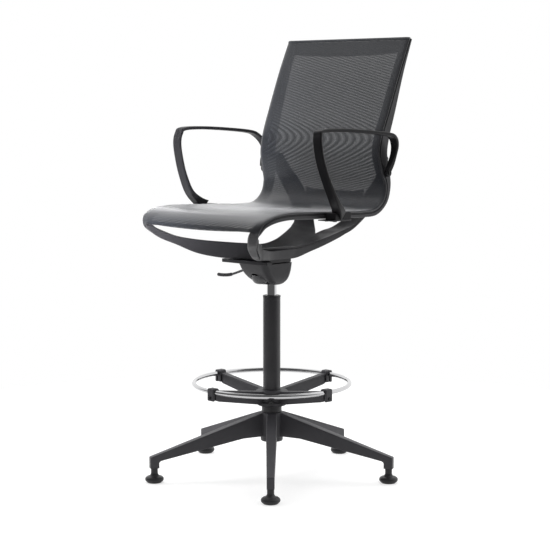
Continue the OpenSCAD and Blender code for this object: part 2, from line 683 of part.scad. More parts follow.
// Tilt plate: wide front edge under the yoke, narrow tail with two ears round the axle
module tilt_plate() {
    front = -112;
    rear = house_rear - 8;
    plan = [
        [-plate_w2, front], [plate_w2, front], [plate_w2, front + 20], [plate_w2 - 22, front + 36],
        [house_w2 - 5, front + 44], [house_w2 - 5, rear], [-house_w2 + 5, rear],
        [-house_w2 + 5, front + 44], [-plate_w2 + 22, front + 36], [-plate_w2, front + 20]
    ];
    color(charcoal) difference() {
        union() {
            translate([0, 0, plate_z]) linear_extrude(plate_t) polygon(plan);
            for (s = [-1, 1]) hull() {
                translate([s * ear_x - 2, axle_y - 6, plate_z]) cube([4, 10, 1]);
                translate([s * ear_x - 2, axle_y, axle_z]) rotate([0, 90, 0])
                    cylinder(r = 6.5, h = 4, $fn = 32);
            }
        }
        translate([-house_w2, axle_y, axle_z]) rotate([0, 90, 0]) cylinder(r = axle_r + fit, h = 2 * house_w2);
        at_plate_screws() translate([0, 0, plate_z - 1]) cylinder(r = 3 + fit, h = plate_t + 2);
    }
}
screw_bite = 9;                  // how far the plate screws reach into the cradle
plate_screw_x = 24;
plate_screw_y = [-62, 4];
module at_plate_screws() {
    for (s = [-1, 1], y = plate_screw_y) translate([s * plate_screw_x, y, 0]) children();
}
module plate_screws() {
    color(steel) at_plate_screws() {
        translate([0, 0, plate_z - 1.6]) cylinder(r = 5, h = 1.6 - eps);
        translate([0, 0, plate_z - 2 * eps]) cylinder(r = 3, h = plate_t + screw_bite);
    }
}

// ---------- front yoke and cradle ----------
module front_yoke() {
    color(charcoal) skin([for (t = steps(T_LAP, 2 * T_MID - T_LAP, 24)) rail_ring(t)]);
}
// Stations along one wing, from the front wall over the plate to the back upright:
// rim front, rim back, inner edge, each as x, y, z; z counts from the top of the plate
V_TIP = 5;                       // station where the two wings part
wx = bx;                         // the wings' ends lie behind the uprights
wy = lean - 93;
wz = seat_rise + 0.321 * back_h;
// Stations behind the plate, as shares of where the wings' ends are
SWEEP = [
    [0.33, 0.373, 0.144, 0.3, 0.365, 0.052, 0, 0.373, 0.082],
    [0.388, 0.572, 0.185, 0.357, 0.56, 0.106, 0, 0.572, 0.134],
    [0.451, 0.771, 0.24, 0.42, 0.754, 0.171, 0, 0.763, 0.195],
    [0.487, 0.848, 0.267, 0.46, 0.835, 0.209, 0.062, 0.843, 0.233],
    [0.545, 0.949, 0.312, 0.527, 0.949, 0.27, 0.179, 0.945, 0.281],
    [0.67, 1.047, 0.438, 0.661, 1.068, 0.418, 0.366, 1.085, 0.425],
    [0.821, 1.072, 0.589, 0.817, 1.097, 0.579, 0.518, 1.127, 0.589],
    [0.946, 1.059, 0.733, 0.946, 1.089, 0.726, 0.661, 1.136, 0.726],
    [1, 1.021, 0.863, 1, 1.047, 0.86, 0.795, 1.106, 0.853],
    [1.009, 1, 1, 1.009, 1.025, 1, 0.875, 1.047, 0.993]
];
WING = concat([
    [62, -98, 40, 60, -97, 1, 0, -77, 16],
    [62, -40, 37, 57, -40, 0, 0, -30, 13],
    [66, 34, 35, 60, 34, 1, 0, 34, 14]
], [for (v = SWEEP) [for (k = [0:8]) v[k] * [wx, wy, wz][k % 3]]]);
function wing_ring(t) =
    let (v = smooth(WING, t), up = min(max((t - V_TIP) / 4, 0), 1), solid = min(max(3 - t, 0), 1),
         rf = [v[0], v[1], v[2]], rb = [v[3], v[4], v[5]],
         inf = [t <= V_TIP ? 0 : v[6], v[7], v[8]],
         off = cradle_t * [0, up, -1 + 0.8 * up],
         sag = [0, 3 * up + 8 * max(1 - t, 0), -6 * (1 - up)],
         mf = (rf + inf) / 2 + sag, lip = [1.2 * (1 - up) * cradle_t, 0, 0])
    [for (p = [inf, mf, rf - lip, rf, rb, rb - lip, flat(mf + off, solid), flat(inf + off, solid)])
        [p[0], p[1], max(p[2], 0) + plate_top]];
function flat(p, f) = [p[0], p[1], p[2] * (1 - f)];
// Both wings as one skin: they share their edges on x = 0 up to the tip of the V between them
module wings() {
    n = 48;
    rings = [for (t = steps(0, len(WING) - 1, n)) wing_ring(t)];
    m = len(rings[0]);
    joined = n * V_TIP / (len(WING) - 1);
    half = (n + 1) * m;
    quads = [for (i = [0:n - 1]) for (j = [0:m - 1]) if (j < m - 1 || i >= joined)
        [i * m + j, (i + 1) * m + j, (i + 1) * m + (j + 1) % m, i * m + (j + 1) % m]];
    end = end_face(m, true);
    tris = concat([for (q = quads) each [[q[0], q[1], q[2]], [q[0], q[2], q[3]]]], end, turned(end, n * m));
    polyhedron(
        points = concat([for (r = rings) each r], [for (r = rings) each [for (p = r) [-p[0], p[1], p[2]]]]),
        faces = concat(tris, turned(tris, half)),
        convexity = 8);
}
module cradle() {
    bridge_h = 48;
    color(charcoal) difference() {
        union() {
            wings();
            at_back_screws() translate([0, 0, 1.4]) cylinder(r = 7, h = boss_h - 1.4);
            translate([0, wy + 23, plate_top + 0.466 * wz]) rotate([90 - 11, 0, 0])
                translate([0, 0, -cradle_t]) linear_extrude(cradle_t) polygon([
                    [-0.43 * wx, 0], [0.43 * wx, 0], [0.57 * wx, bridge_h], [-0.57 * wx, bridge_h]]);
        }
        at_plate_screws() translate([0, 0, plate_top - 1]) cylinder(r = 3 + fit, h = 1 + screw_bite + 0.2);
        at_back_screws() cylinder(r = 3 + fit, h = boss_h + 1);
    }
}

// ---------- side rails, top rail, front bar ----------
// Where the cradle is screwed to the uprights; each place has its +Z axis pointing rearwards
BACK_SCREWS = [4.4, 5];
boss_h = 18;                     // height of a screw boss on the cradle
module at_back_screws() {
    for (s = [-1, 1], t = BACK_SCREWS)
        let (v = rail_at(t), p = on_rail(t, -8, -v[5] / 2), T = heading(FRAME, t))
        translate([s * p[0], p[1], p[2]]) rotate([atan2(T[1], -T[2]) - 90, 0, 0]) children();
}
// Middle of the place on the upright's outer face where an arm's rear end is screwed on
ARM_REAR = 5.1;
module side_rail() {
    difference() {
        skin([for (t = steps(0, T_LAP, T_LAP / DT)) rail_ring(t)]);
        at_back_screws() translate([0, 0, -14]) cylinder(r = 3 + fit, h = 16);
        at_arm_rear() translate([0, 0, -14]) cylinder(r = 3 + fit, h = 16);
        for (y = arm_screw_y) translate([rx, y, seat_z - rail_d]) cylinder(r = 3 + fit, h = rail_d + 4);
    }
}
module side_rail_left() { color(charcoal) side_rail(); }
module side_rail_right() { color(charcoal) mirror([1, 0, 0]) side_rail(); }
module back_screws() {
    color(steel) at_back_screws() {
        translate([0, 0, boss_h + eps]) cylinder(r = 5, h = 3);
        translate([0, 0, -12]) cylinder(r = 3, h = boss_h + 13);
    }
}
// Cross band behind the mesh, bowed rearward
module top_rail() {
    v = rail_at(0);
    inner = v[0] - v[4] / 2 - seat_gap;
    tilt = atan2(lean - rail_at(1)[1], back_top - rail_at(1)[2]);
    color(charcoal) skin([for (k = [0:16]) let (x = -inner + 2 * inner * k / 16, u = x / inner,
            bow = 12 * (1 - u * u), y = lean - 2 + bow, low = top_h - 6 + 8 * (1 - u * u))
        [for (p = [[-4, 0], [4, 0], [4, -low], [-2, -low]])
            [x, y + p[0] + p[1] * tan(tilt), back_top - 4 + p[1]]]]);
}
bar_r = 5;
bar_t = 15;
module front_bar() {
    v = rail_at(bar_t);
    l = v[0] - v[4] / 2 - 9.6;
    color(charcoal) translate([-l, v[1] + 2, v[2]]) rotate([0, 90, 0]) cylinder(r = bar_r, h = 2 * l);
}

// ---------- mesh and welts ----------
// Half a row of the mesh across the chair; it lies on the rails and dips a little between them
function mesh_row(t, lift) =
    let (v = rail_at(t), e = on_rail(t, v[4] / 2 - 3, v[5] / 2 + seat_gap + lift),
         i = on_rail(t, -v[4] / 2, v[5] / 2 + seat_gap + lift),
         m = on_rail(t, 0, v[5] / 2 + seat_gap + lift),
         dip = 8 * max(0, 1 - pow((t - 10) / 3.5, 2)))
    [[e[0], e[1], e[2]], [i[0], i[1], i[2]], [0.5 * i[0], m[1], m[2] - 0.75 * dip],
     [0, m[1], m[2] - dip]];
function mesh_ring(t) =
    let (a = mesh_row(t, mesh_t), b = mesh_row(t, 0))
    concat(a, [for (k = [2:-1:0]) [-a[k][0], a[k][1], a[k][2]]],
        [for (k = [0:2]) [-b[k][0], b[k][1], b[k][2]]], [b[3]],
        [for (k = [2:-1:0]) b[k]]);
module mesh() {
    color(knit) skin([for (t = steps(0, T_MESH, T_MESH / DT)) mesh_ring(t)], flip = 10, bent = true);
}
function welt_ring(t) =
    let (v = rail_at(t), w = v[4] / 2, d = v[5] / 2, g = 0.25)
    [for (p = [
        [w - groove_d + g, d - 4 - groove_w + g], [w - g, d - 4 - groove_w + g],
        [w - g, d - 4 - g], [w - groove_d + g, d - 4 - g]]) on_rail(t, p[0], p[1])];
module welt() {
    skin([for (t = steps(0, T_MESH, T_MESH / DT)) welt_ring(t)], flip = 0);
}
module welt_left() { color(graphite) welt(); }
module welt_right() { color(graphite) mirror([1, 0, 0]) welt(); }

// ---------- arms ----------
foot_x = sw + seat_gap;          // inner face of an arm's foot
foot_w = 36;
foot_l = 66;                     // length of the foot along the rail
foot_y = -42;                    // its front end
rear_x = rail_at(ARM_REAR + 0.3)[0] + rail_at(ARM_REAR + 0.3)[4] / 2 + seat_gap;
rear_z = rail_at(ARM_REAR)[2] - 4; // where the arm's band runs out over that place
module at_arm_rear() {
    translate([rear_x, rail_at(ARM_REAR)[1], rail_at(ARM_REAR)[2]]) rotate([0, 90, 0]) children();
}
ax = sw + arm_stand - arm_w / 2;
az = seat_z + arm_rise - arm_t / 2;
ARM = [
    // x, y, z, turn, width, thickness
    [foot_x + 15, -6, seat_z - 2, 0, arm_w, 40],
    [foot_x + 31, -24, seat_z + 15, 0, arm_w + 1, 24],
    [ax + 11, -54, seat_z + 0.192 * arm_rise, 0, arm_w + 1, arm_t + 4.5],
    [ax + 9, -82, seat_z + 0.41 * arm_rise, 0, arm_w, arm_t + 1],
    [ax + 5, -101, seat_z + 0.628 * arm_rise, 0, arm_w, arm_t],
    [ax + 3, -109, seat_z + 0.803 * arm_rise, 0, arm_w, arm_t],
    [ax - 1, -106, az - 15, 0, arm_w, arm_t],
    [ax - 4, -92, az - 2, 0, arm_w, arm_t],
    [ax - 4, -20, az, 0, arm_w, arm_t],
    [ax, 85, az - 5, 0, arm_w, arm_t],
    [ax, 178, az - 13, 0, arm_w, arm_t],
    [ax - 3, 210, az - 23, 0, arm_w - 1, arm_t],
    [ax - 12, 230, az - 45, 0, arm_w - 4, arm_t],
    [ax - 20, 235, az - 72, 0, arm_w - 10, arm_t + 2],
    [rear_x + 11, 225, rear_z + 28, 0, 16, 17],
    [rear_x + 5, 215, rear_z, 0, 9, 20]
];
function arm_ring(t) =
    let (v = smooth(ARM, t), c = 0.24 * min(v[4], v[5]))
    [for (p = cut_rect(v[4], v[5], c)) beside(ARM, t, 0, p[0], p[1])];
arm_screw_y = [-24, 12];
arm_boss = 9;                    // thickness of the arm under the rear screw's head
bracket_top = seat_z - 9.5 - 0.6;
module arm() {
    difference() {
        union() {
            skin([for (t = steps(0.35, 14.6, 60)) arm_ring(t)]);
            translate([foot_x, foot_y, bracket_top + 0.1]) cube([foot_w, foot_l, 20]);
            at_arm_rear() cylinder(r = 11, h = arm_boss);
        }
        translate([foot_x - 1, foot_y - 40, bracket_top - 30]) cube([foot_w + 24, foot_l + 80, 30 + 0.1]);
        for (y = arm_screw_y) translate([foot_x + foot_w / 2, y, bracket_top - 1])
            cylinder(r = 3 + fit, h = 16);
        at_arm_rear() translate([0, 0, -1]) cylinder(r = 3 + fit, h = arm_boss + 2);
        at_arm_rear() translate([0, 0, arm_boss]) cylinder(r = 6.5, h = 20);
    }
}
module arm_left() { color(charcoal) arm(); }
module arm_right() { color(charcoal) mirror([1, 0, 0]) arm(); }
module arm_bracket() {
    difference() {
        translate([sw - rail_w + 3, foot_y - 8, bracket_top - 3]) cube([rail_w + foot_w - 3, foot_l + 10, 3]);
        for (x = [rx, foot_x + foot_w / 2], y = arm_screw_y)
            translate([x, y, bracket_top - 4]) cylinder(r = 3 + fit, h = 5);
    }
}
module arm_bracket_left() { color(graphite) arm_bracket(); }
module arm_bracket_right() { color(graphite) mirror([1, 0, 0]) arm_bracket(); }
module arm_screws() {
    color(steel) for (s = [-1, 1]) {
        for (x = [rx, foot_x + foot_w / 2], y = arm_screw_y) translate([s * x, y, bracket_top - 3]) {
            translate([0, 0, -3 - eps]) cylinder(r = 5, h = 3);
            translate([0, 0, -eps]) cylinder(r = 3, h = 15);
        }
    }
    color(steel) for (m = [0, 1]) mirror([m, 0, 0]) at_arm_rear() {
        translate([0, 0, -12]) cylinder(r = 3, h = arm_boss + 12 + 2 * eps);
        translate([0, 0, arm_boss + eps]) cylinder(r = 6, h = 3);
    }
}

star_base();
glide_stems();
glide_pads();
stand_tube();
guide_bush();
bearing_lower_race();
bearing_balls();
bearing_upper_race();
rubber_buffer();
piston_rod();
piston();
rod_clip();
gas_cylinder();
release_pin();
footring_tube();
footring_hub();
ring_clips();
clip_screws();
collet_sleeve();
ring_lock_screw();
mechanism_housing();
column_casting();
housing_screws();
tilt_axle();
axle_clips();
tilt_spring();
tension_knob();
tension_screw();
height_lever();
lever_grip();
lever_pin();
tilt_plate();
plate_screws();
front_yoke();
cradle();
side_rail_left();
side_rail_right();
top_rail();
front_bar();
mesh();
welt_left();
welt_right();
back_screws();
arm_left();
arm_right();
arm_bracket_left();
arm_bracket_right();
arm_screws();
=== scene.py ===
"""Drafting chair: the finished pieces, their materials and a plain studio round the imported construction.

The chair faces -Y, +X is the sitter's left, the column axis is the Z axis and the floor is z = 0.
Lists of stations are in millimetres, as the construction has them; the meshes are in metres.
"""
import bisect
import json
import math

import bmesh
import bpy
from bpy.props import BoolProperty, FloatProperty, FloatVectorProperty, IntProperty, PointerProperty
from mathutils import Matrix, Vector


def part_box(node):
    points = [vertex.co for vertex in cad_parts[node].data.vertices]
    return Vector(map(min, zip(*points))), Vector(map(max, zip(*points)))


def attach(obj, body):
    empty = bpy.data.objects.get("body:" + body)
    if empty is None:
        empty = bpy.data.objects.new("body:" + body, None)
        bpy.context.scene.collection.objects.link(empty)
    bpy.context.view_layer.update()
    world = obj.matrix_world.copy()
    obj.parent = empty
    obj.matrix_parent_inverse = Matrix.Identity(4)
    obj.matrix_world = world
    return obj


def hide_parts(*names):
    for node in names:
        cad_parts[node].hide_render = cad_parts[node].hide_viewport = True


bl_info = {
    "name": "Drafting chair",
    "version": (1, 0, 0),
    "blender": (4, 5, 0),
    "location": "3D View > Sidebar > Chair",
    "description": "Builds the finished pieces of a drafting chair round its construction",
    "category": "Add Mesh",
}

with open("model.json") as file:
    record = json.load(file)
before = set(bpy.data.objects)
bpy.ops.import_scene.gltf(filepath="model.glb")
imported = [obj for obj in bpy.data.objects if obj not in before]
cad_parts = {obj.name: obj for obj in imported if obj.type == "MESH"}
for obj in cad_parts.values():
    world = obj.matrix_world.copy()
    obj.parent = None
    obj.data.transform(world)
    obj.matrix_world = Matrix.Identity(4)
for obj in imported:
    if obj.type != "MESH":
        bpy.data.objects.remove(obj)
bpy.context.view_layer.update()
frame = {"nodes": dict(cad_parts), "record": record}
SLOTS = {p["node"]: p["material_slot"] for p in frame["record"]["subparts"]}

MM = 0.001
X, Y, Z = 0, 1, 2
LOW, HIGH = 0, 1


def at(node, end, axis):
    """One side of a construction node's box, in millimetres."""
    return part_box(node)[end][axis] / MM


# ---------- the construction's sizes in millimetres: typed as it has them, or read from its nodes ----------
RAIL_W = 24.0
RAIL_D = 19.0
UPRIGHT_W = 28.0
UPRIGHT_INSET = 7
CRADLE_T = 5.0
GROOVE_W = 5.0
GROOVE_D = 4.0
GROOVE_INSET = 4
NOSE = 62.0
GAP = 0.3
BRACKET_LAP = 3
BRACKET_DROP = 13.1
TOP_RAIL_DROP = 4
TOP_RAIL_REACH = 14
BAR_R = 5
SEAT_HALF = at("arm_bracket_left", LOW, X) + RAIL_W - BRACKET_LAP
SEAT_Z = at("arm_bracket_left", LOW, Z) + BRACKET_DROP
PLATE_TOP = at("tilt_plate", HIGH, Z)
BACK_TOP = at("top_rail", HIGH, Z) + TOP_RAIL_DROP
LEAN = at("top_rail", HIGH, Y) - TOP_RAIL_REACH
FRONT = BAR_R - at("front_bar", LOW, Y)
ARM_RISE = 239.0
ARM_BOSS = 9
FOOT_X = SEAT_HALF + GAP
FOOT_W = 36.0
BACK_H = BACK_TOP - SEAT_Z
UPRIGHT_X = SEAT_HALF - UPRIGHT_INSET - UPRIGHT_W / 2

# places along the frame's line, counted in stations from the top of the back
T_LAP = 19
T_NOSE = 15
T_MESH = 15 + 1 / 3
ARM_REAR = 5.1
BACK_SCREWS = (4.4, 5.0)


# ---------- curves ----------
def smooth(points, t):
    """A point on the smooth curve through points; t runs from 0 to len(points) - 1."""
    last = len(points) - 1
    i = min(max(int(math.floor(t)), 0), last - 1)
    f = t - i
    a, b = points[max(i - 1, 0)], points[i]
    c, d = points[i + 1], points[min(i + 2, last)]
    return [
        0.5 * (2 * q + (r - p) * f + (2 * p - 5 * q + 4 * r - s) * f ** 2 + (3 * q - p - 3 * r + s) * f ** 3)
        for p, q, r, s in zip(a, b, c, d)
    ]


def heading(points, t, reach=0.02):
    return (Vector(smooth(points, t + reach)[:3]) - Vector(smooth(points, t - reach)[:3])).normalized()


def beside(points, t, turn, side, out):
    """A point at a side and an outward offset from the curve, whose side axis is turned about Z."""
    along = heading(points, t)
    outward = along.cross(Vector((math.cos(turn), math.sin(turn), 0))).normalized()
    return Vector(smooth(points, t)[:3]) + side * outward.cross(along) + out * outward


def within(value):
    """A value kept between 0 and 1."""
    return min(max(value, 0), 1)


def steps(start, stop, count):
    return [start + (stop - start) * k / count for k in range(count + 1)]


def arc(cx, cy, radius, start, stop, count):
    return [
        (cx + radius * math.cos(math.radians(a)), cy + radius * math.sin(math.radians(a)))
        for a in steps(start, stop, count)
    ]


def round_rect(width, depth, radius, count=4):
    """A rectangle with rounded corners, counter-clockwise from its right side."""
    x, y = width / 2 - radius, depth / 2 - radius
    return (
        arc(x, -y, radius, -90, 0, count) + arc(x, y, radius, 0, 90, count)
        + arc(-x, y, radius, 90, 180, count) + arc(-x, -y, radius, 180, 270, count)
    )


# ---------- mesh tools ----------
def loft(bm, rings):
    """Extrudes the first ring through all the others, caps both ends and returns the rows of vertices."""
    row = [bm.verts.new(Vector(p) * MM) for p in rings[0]]
    edges = [bm.edges.new(pair) for pair in zip(row, row[1:] + row[:1])]
    bmesh.ops.contextual_create(bm, geom=edges)
    rows = [row]
    for ring in rings[1:]:
        made = bmesh.ops.extrude_edge_only(bm, edges=edges)["geom"]
        new = {g for g in made if isinstance(g, bmesh.types.BMVert)}
        partner = [next(e.other_vert(v) for e in v.link_edges if e.other_vert(v) in new) for v in row]
        for vert, point in zip(partner, ring):
            vert.co = Vector(point) * MM
        edges = [g for g in made if isinstance(g, bmesh.types.BMEdge) and all(v in new for v in g.verts)]
        row = partner
        rows.append(row)
    bmesh.ops.contextual_create(bm, geom=edges)
    return rows


def lofted(rings):
    """A loft as its own mesh."""
    bm = bmesh.new()
    loft(bm, rings)
    return bm


def spun(outline, count=64, closed=True):
    """An outline of (radius, height) turned all the way round the Z axis, as its own mesh."""
    bm = bmesh.new()
    verts = [bm.verts.new((r * MM, 0, z * MM)) for r, z in outline]
    pairs = zip(verts, verts[1:] + verts[:1]) if closed else zip(verts, verts[1:])
    edges = [bm.edges.new(pair) for pair in pairs]
    bmesh.ops.spin(
        bm, geom=verts + edges, cent=(0, 0, 0), axis=(0, 0, 1), angle=math.tau,
        steps=count, use_merge=True, use_duplicate=False,
    )
    bmesh.ops.remove_doubles(bm, verts=bm.verts, dist=1e-6)
    bmesh.ops.recalc_face_normals(bm, faces=bm.faces)
    return bm


def slab(outline, half):
    """An outline in the XZ plane extruded to both sides of it, as its own mesh."""
    bm = bmesh.new()
    verts = [bm.verts.new(Vector((x, -half, z)) * MM) for x, z in outline]
    face = bm.faces.new(verts)
    made = bmesh.ops.extrude_face_region(bm, geom=[face])["geom"]
    far = [g for g in made if isinstance(g, bmesh.types.BMVert)]
    bmesh.ops.translate(bm, verts=far, vec=(0, 2 * half * MM, 0))
    bmesh.ops.recalc_face_normals(bm, faces=bm.faces)
    return bm


def block(size, middle, rounding=0.0, segments=3):
    """A box with rounded edges, as its own mesh."""
    bm = bmesh.new()
    bmesh.ops.create_cube(bm, size=1)
    bmesh.ops.scale(bm, verts=bm.verts, vec=Vector(size) * MM)
    bmesh.ops.translate(bm, verts=bm.verts, vec=Vector(middle) * MM)
    if rounding:
        bevel(bm, bm.edges[:], rounding, segments)
    return bm


def rod(radius, bottom, top, count=32, rounding=0.0):
    """A round bar along Z, as its own mesh."""
    c = rounding
    outline = [(0, bottom)] + ([(radius - c, bottom), (radius, bottom + c)] if c else [(radius, bottom)])
    outline += ([(radius, top - c), (radius - c, top)] if c else [(radius, top)]) + [(0, top)]
    return spun(outline, count, closed=False)


def lying(place):
    """A place in metres, with the part's own Z axis laid along X."""
    return Matrix.Translation(place) @ Matrix.Rotation(math.pi / 2, 4, "Y")


def placed(bm, matrix):
    bmesh.ops.transform(bm, matrix=matrix, verts=bm.verts)
    return bm


def bevel(bm, edges, width, segments=3):
    bmesh.ops.bevel(
        bm, geom=edges, offset=width * MM, offset_type="OFFSET", segments=segments, profile=0.5,
        affect="EDGES", material=-1, clamp_overlap=True, loop_slide=True,
    )


def sharp_edges(bm, degrees):
    limit = math.radians(degrees)
    return [e for e in bm.edges if e.is_manifold and e.calc_face_angle(0) > limit]


def poured(bm, name):
    mesh = bpy.data.meshes.new(name)
    bm.to_mesh(mesh)
    bm.free()
    obj = bpy.data.objects.new(name, mesh)
    bpy.context.scene.collection.objects.link(obj)
    return obj


def combined(bm, tools, operation):
    """Joins the tools to a mesh, or cuts them out of it."""
    obj = poured(bm, "work")
    helpers = [poured(tool, "tool") for tool in tools]
    for helper in helpers:
        step = obj.modifiers.new("combine", "BOOLEAN")
        step.operation = operation
        step.object = helper
        step.solver = "EXACT"
    view = bpy.context.evaluated_depsgraph_get()
    view.update()
    result = bmesh.new()
    result.from_object(obj, view)
    for spent in [obj] + helpers:
        mesh = spent.data
        bpy.data.objects.remove(spent)
        bpy.data.meshes.remove(mesh)
    bmesh.ops.remove_doubles(result, verts=result.verts, dist=2e-6)
    return result


def copied(bm, matrix):
    """A transformed copy of a mesh."""
    other = bm.copy()
    bmesh.ops.transform(other, matrix=matrix, verts=other.verts)
    return other


def gathered(parts):
    """Several meshes as one."""
    whole = bmesh.new()
    for part in parts:
        mesh = bpy.data.meshes.new("part")
        part.to_mesh(mesh)
        part.free()
        whole.from_mesh(mesh)
        bpy.data.meshes.remove(mesh)
    return whole


def round_column(part, angles, place=Matrix()):
    """Copies of a part turned round the Z axis, which use the part up."""
    copies = [copied(part, Matrix.Rotation(a, 4, "Z") @ place) for a in angles]
    part.free()
    return copies


def mirrored(bm):
    """The same mesh on the sitter's other side."""
    other = copied(bm, Matrix.Scale(-1, 4, (1, 0, 0)))
    bmesh.ops.recalc_face_normals(other, faces=other.faces)
    return other


def piece(name, bm, body, slot, replaces=(), sharp=32.0, even=True):
    """Turns a mesh into a finished piece on its body, in place of construction nodes."""
    bmesh.ops.recalc_face_normals(bm, faces=bm.faces)
    for face in bm.faces:
        face.smooth = True
    for edge in bm.edges:
        edge.smooth = True
    for edge in sharp_edges(bm, sharp):
        edge.smooth = False
    obj = poured(bm, name)
    obj.data.materials.append(finish_of(slot))
    if even:
        obj.modifiers.new("even_shading", "WEIGHTED_NORMAL").keep_sharp = True
    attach(obj, body)
    if replaces:
        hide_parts(*replaces)
    return obj


def both_sides(name, bm, slot, sharp=32.0):
    """The same finished piece on the left and the right of the seat frame."""
    for side, mesh in (("left", bm), ("right", mirrored(bm))):
        piece(f"finished_{name}_{side}", mesh, "seat_frame", slot, [f"{name}_{side}"], sharp)


# ---------- materials ----------
class Nodes:
    """A node tree with short ways to add nodes."""

    def __init__(self, tree):
        self.tree = tree

    def feed(self, socket, value):
        """Links a value to a socket, or sets the socket to it."""
        if isinstance(value, bpy.types.NodeSocket):
            self.tree.links.new(value, socket)
        else:
            socket.default_value = value

    def node(self, kind, inputs=(), **settings):
        made = self.tree.nodes.new(kind)
        for key, value in settings.items():
            setattr(made, key, value)
        for socket, value in dict(inputs).items():
            self.feed(made.inputs[socket], value)
        return made

    def math(self, operation, a, b=0.0, c=0.0, clamp=False):
        inputs = {0: a, 1: b, 2: c}
        return self.node("ShaderNodeMath", inputs, operation=operation, use_clamp=clamp).outputs[0]


class Recipe(Nodes):
    """The node tree of a finish."""

    def __init__(self, name):
        self.material = bpy.data.materials.new(name)
        self.material.use_nodes = True
        super().__init__(self.material.node_tree)
        self.shader = self.tree.nodes["Principled BSDF"]
        self.place = self.node("ShaderNodeTexCoord")

    def noise(self, scale, detail=2.0, roughness=0.5, vector=None):
        source = vector or self.place.outputs["Object"]
        return self.node(
            "ShaderNodeTexNoise", {"Vector": source, "Scale": scale, "Detail": detail, "Roughness": roughness}
        ).outputs["Fac"]

    def between(self, factor, low, high):
        """Spreads the middle of a noise over a range of values."""
        inputs = {"Value": factor, "From Min": 0.3, "From Max": 0.7, "To Min": low, "To Max": high}
        return self.node("ShaderNodeMapRange", inputs).outputs[0]

    def blend(self, factor, first, second):
        inputs = {"Factor": factor, "A": (*first, 1), "B": (*second, 1)}
        return self.node("ShaderNodeMix", inputs, data_type="RGBA").outputs["Result"]

    def set(self, socket, value):
        self.feed(self.shader.inputs[socket], value)

    def bump(self, height, depth, strength=1.0):
        made = self.node("ShaderNodeBump", {"Height": height, "Distance": depth, "Strength": strength})
        self.set("Normal", made.outputs["Normal"])


def shade(colour, factor):
    return [c * factor for c in colour]


def moulded(name, colour, roughness, grain=0.00045, depth=0.00005, variation=0.12, shine=0.5):
    """Glass-filled nylon or another moulded plastic: a fine grain and faint flow marks."""
    r = Recipe(name)
    cloud = r.noise(14.0, 3.0)
    r.set("Base Color", r.blend(cloud, shade(colour, 1 - variation), shade(colour, 1 + variation)))
    r.set("Roughness", r.between(r.noise(60.0, 4.0), roughness - 0.05, roughness + 0.05))
    r.set("Specular IOR Level", shine)
    r.bump(r.noise(1 / grain, 2.0, 0.6), depth)
    return r.material


def coated(name, colour, roughness):
    """Powder coat: an orange-peel surface over smooth steel."""
    r = Recipe(name)
    cloud = r.noise(20.0, 2.0)
    r.set("Base Color", r.blend(cloud, shade(colour, 0.92), shade(colour, 1.08)))
    r.set("Roughness", r.between(r.noise(220.0, 2.0), roughness - 0.04, roughness + 0.04))
    r.bump(r.noise(900.0, 1.0), 0.00003)
    return r.material


def plated(name, colour, roughness, streaks=0.03):
    """Bright or dull plating on metal, with the faint streaks that polishing leaves."""
    r = Recipe(name)
    turned = r.node("ShaderNodeMapping", {"Vector": r.place.outputs["Object"], "Scale": (1.0, 1.0, 9.0)})
    marks = r.noise(120.0, 3.0, 0.6, turned.outputs["Vector"])
    r.set("Metallic", 1.0)
    r.set("Base Color", r.blend(marks, shade(colour, 0.96), colour))
    r.set("Roughness", r.between(marks, roughness, roughness + streaks))
    return r.material


def rubbery(name, colour):
    r = Recipe(name)
    r.set("Base Color", r.blend(r.noise(40.0), shade(colour, 0.85), shade(colour, 1.15)))
    r.set("Roughness", r.between(r.noise(150.0), 0.62, 0.75))
    r.bump(r.noise(1600.0, 2.0), 0.00004)
    return r.material


